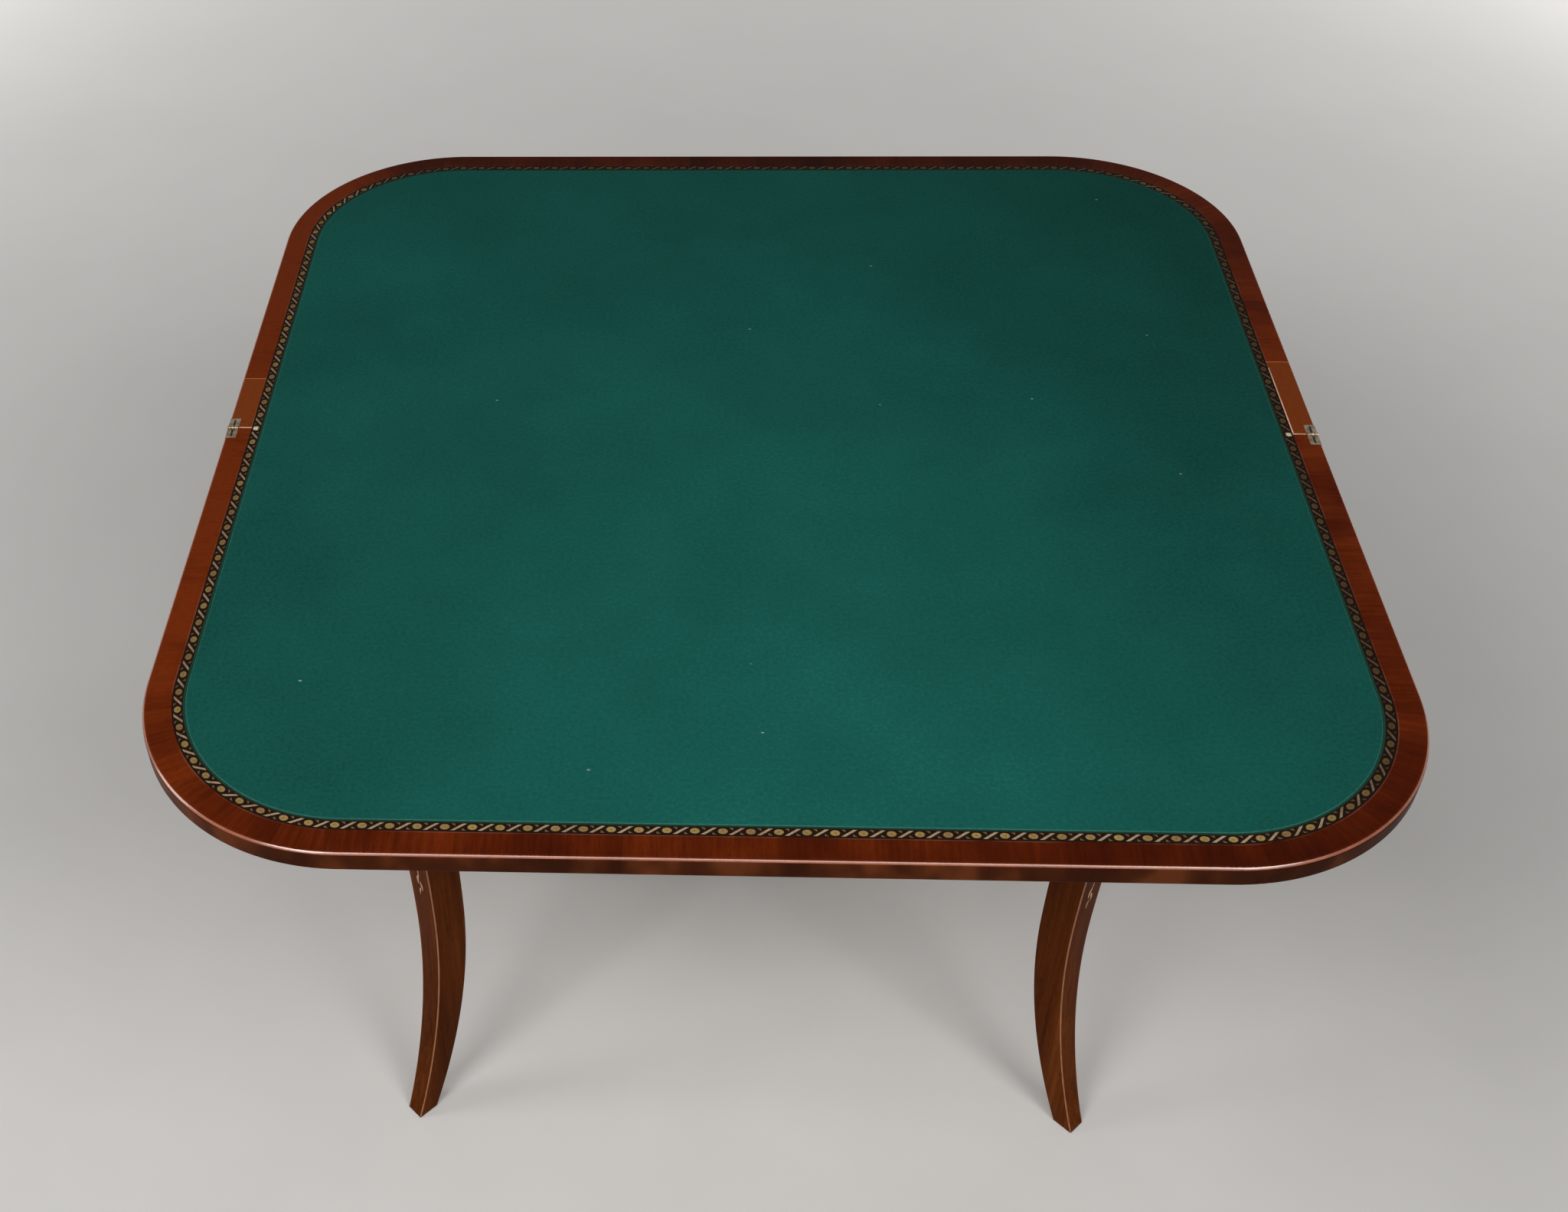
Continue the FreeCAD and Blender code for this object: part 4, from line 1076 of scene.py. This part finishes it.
# Pale bars along the joint on the flap: painted highlight on the joint's arris
for hand, side in ((-1, "left"), (1, "right")):
    x_ends = (hand * PANEL_X, hand * HINGE_INNER_X)
    y_ends = (HALF_GAP, JOINT_HIGHLIGHT_END)
    let_in_bar("joint_highlight_" + side, x_ends, y_ends, LINE_TOP, PALE_LINE, "flap")

for leaf, body, toward in (("lower", "lower_leaf", -1), ("flap", "flap", 1)):
    for side in ("left", "right"):
        plate_low, plate_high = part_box(f"hinge_plate_{leaf}_{side}")
        middle_x = (plate_low.x + plate_high.x) / 2
        x_ends = (middle_x - SLOT_HALF, middle_x + SLOT_HALF)
        y_ends = (toward * SLOT_START, toward * SLOT_END)
        let_in_bar(f"hinge_slot_{leaf}_{side}", x_ends, y_ends, SLOT_TOP, HINGE_SLOT, body)

x_ends = (PANEL_X, SLIP_LINE_X)
y_ends = (SLIP_LINE_START, SLIP_LINE_END)
let_in_bar("slip_line_right", x_ends, y_ends, LINE_TOP, PALE_LINE, "flap")


# Finishes of the CAD nodes that show as they are

RIM_SHADES = (shade(51, 12, 2), shade(77, 24, 4), shade(108, 41, 9))
SLIP_SHADES = (shade(68, 23, 7), shade(92, 36, 10), shade(118, 54, 19))
RAIL_SHADES = (shade(56, 20, 8), shade(84, 34, 14), shade(112, 54, 24))
BEECH_SHADES = (shade(168, 126, 84), shade(206, 166, 118))
PLY_SHADES = (shade(176, 134, 90), shade(212, 174, 126))
RAIL_ALONG_X = mahogany_finish("rail_mahogany_long", "x", *RAIL_SHADES)
RAIL_ALONG_Y = mahogany_finish("rail_mahogany_short", "y", *RAIL_SHADES)
NODE_FINISHES = {
    "flap_slip_left": crossband_finish("crossband_slip_left", *SLIP_SHADES, SLIP_LEFT),
    "flap_slip_right": crossband_finish("crossband_slip_right", *SLIP_SHADES, SLIP_RIGHT),
    "rail_front": RAIL_ALONG_X,
    "rail_rear": RAIL_ALONG_X,
    "rail_left": RAIL_ALONG_Y,
    "rail_right": RAIL_ALONG_Y,
}
SLOT_FINISHES = {
    "crossbanded_mahogany": crossband_finish("crossband_rim", *RIM_SHADES),
    "veneered_panel": panel_finish(),
    "plain_beech": pale_wood_finish("inner_beech", *BEECH_SHADES),
    "well_plywood": pale_wood_finish("well_plywood_ply", *PLY_SHADES, layers=True),
    "brass": metal_finish("aged_brass", (0.34, 0.27, 0.19, 1), (0.17, 0.13, 0.09, 1), 0.38),
    "steel": metal_finish("zinc_steel", (0.56, 0.56, 0.58, 1), (0.36, 0.36, 0.37, 1), 0.32),
}
for subpart in frame["record"]["subparts"]:
    node = subpart["node"]
    finish = NODE_FINISHES.get(node, SLOT_FINISHES.get(subpart["material_slot"]))
    if finish:
        for place in NODES[node].material_slots:
            place.material = finish


# Studio

FLOOR_REACH = 9.0
GLOW_FROM = 0.8
GLOW_TO = 4.0
AIR_LIGHT = 0.07
AIR_SEEN = 0.85
LAMP_AIM = (0, -0.1, 0.7)
BACK_AIM = (0, 0.1, 0.42)
SENSOR_WIDTH = 36.0
FOCAL_LENGTH = 42.022
LENS_SHIFT = (0.1126, 0.0293)
EYE = (-0.0565, -1.1972, 1.6447)
PITCH = math.radians(43.774)
ROLL = math.radians(1.892)
YAW = math.radians(-3.708)


def looked_at(nodes):
    """1 for rays of the camera, mirrored or let through as well, and 0 for light that falls on things."""
    ray = nodes.node("LightPath").outputs
    seen = nodes.add(nodes.add(ray["Is Camera Ray"], ray["Is Glossy Ray"]), ray["Is Transmission Ray"])
    return nodes.smaller(seen, 1.0)


def studio_floor():
    """A level square far wider than the table, of pale paper that glows a little more away from the middle,
    where the lamps do not reach."""
    corners = [(x * FLOOR_REACH, y * FLOOR_REACH, 0) for x, y in ((-1, -1), (1, -1), (1, 1), (-1, 1))]
    mesh = bpy.data.meshes.new("studio_floor")
    mesh.from_pydata(corners, [], [(0, 1, 2, 3)])
    look = Look("floor_paper")
    place = look.place()
    cloud = look.noise(place, (3, 3, 3), detail=3)
    paper = look.ramp(cloud, [(0.3, shade(210, 208, 205)), (0.7, shade(217, 215, 212))])
    away = look.node("VectorMath", {0: place}, operation="LENGTH").outputs["Value"]
    glow = look.between(away, GLOW_FROM, GLOW_TO, low=0.05, high=0.55)
    look.set(Base_Color=paper, Roughness=0.8, Emission_Color=shade(252, 250, 247))
    look.set(Emission_Strength=look.times(looked_at(look), glow))
    mesh.materials.append(look.material)
    floor = put_in_scene("studio_floor", mesh)


def soft_lamp(name, place, aim, width, height, watts, mirrored=True):
    """Rectangular lamp turned to face a point, mirrored in polished surfaces or not."""
    light = bpy.data.lights.new(name, "AREA")
    light.shape = "RECTANGLE"
    light.size = width
    light.size_y = height
    light.energy = watts
    lamp = put_in_scene(name, light)
    lamp.location = place
    lamp.rotation_euler = (Vector(aim) - Vector(place)).to_track_quat("-Z", "Y").to_euler()
    lamp.visible_camera = False
    lamp.visible_glossy = mirrored


def pale_air():
    """World: a faint even light, shown pale where it is looked at."""
    world = bpy.data.worlds.new("studio_air")
    world.use_nodes = True
    air = Nodes(world.node_tree)
    background = air.tree.nodes["Background"].inputs
    air.feed(background["Strength"], air.between(looked_at(air), 0.0, 1.0, AIR_LIGHT, AIR_SEEN))
    air.feed(background["Color"], shade(222, 220, 217))
    bpy.context.scene.world = world


def photo_camera():
    """Camera at the photo's viewing point: its axes come from yaw, pitch and roll."""
    ahead = math.cos(PITCH)
    forward = Vector((math.sin(YAW) * ahead, math.cos(YAW) * ahead, -math.sin(PITCH)))
    level = Vector((math.cos(YAW), -math.sin(YAW), 0))
    down = forward.cross(level)
    right = math.cos(ROLL) * level + math.sin(ROLL) * down
    lower = -math.sin(ROLL) * level + math.cos(ROLL) * down
    lens = bpy.data.cameras.new("photo_camera")
    lens.sensor_width = SENSOR_WIDTH
    lens.lens = FOCAL_LENGTH
    lens.shift_x, lens.shift_y = LENS_SHIFT
    camera = put_in_scene("photo_camera", lens)
    turn = Matrix((right, -lower, -forward)).transposed()
    camera.matrix_world = Matrix.Translation(EYE) @ turn.to_4x4()
    bpy.context.scene.camera = camera


studio_floor()
soft_lamp("key_left", (-1.15, -1.55, 2.4), LAMP_AIM, width=0.8, height=0.7, watts=26)
soft_lamp("key_right", (1.2, -1.5, 2.4), LAMP_AIM, width=0.8, height=0.7, watts=24)
soft_lamp("key_middle", (0, -1.8, 2.5), (0, -0.2, 0.7), width=1.9, height=0.4, watts=16)
soft_lamp("window_left", (-2.0, -0.3, 1.45), (-0.3, -0.2, 0.7), width=0.6, height=0.9, watts=9)
soft_lamp("back_left", (-2.3, 2.5, 0.5), BACK_AIM, width=1.5, height=0.5, watts=9, mirrored=False)
soft_lamp("back_right", (2.3, 2.5, 0.5), BACK_AIM, width=1.5, height=0.5, watts=9, mirrored=False)
pale_air()
bpy.context.scene.view_settings.view_transform = "Standard"
photo_camera()
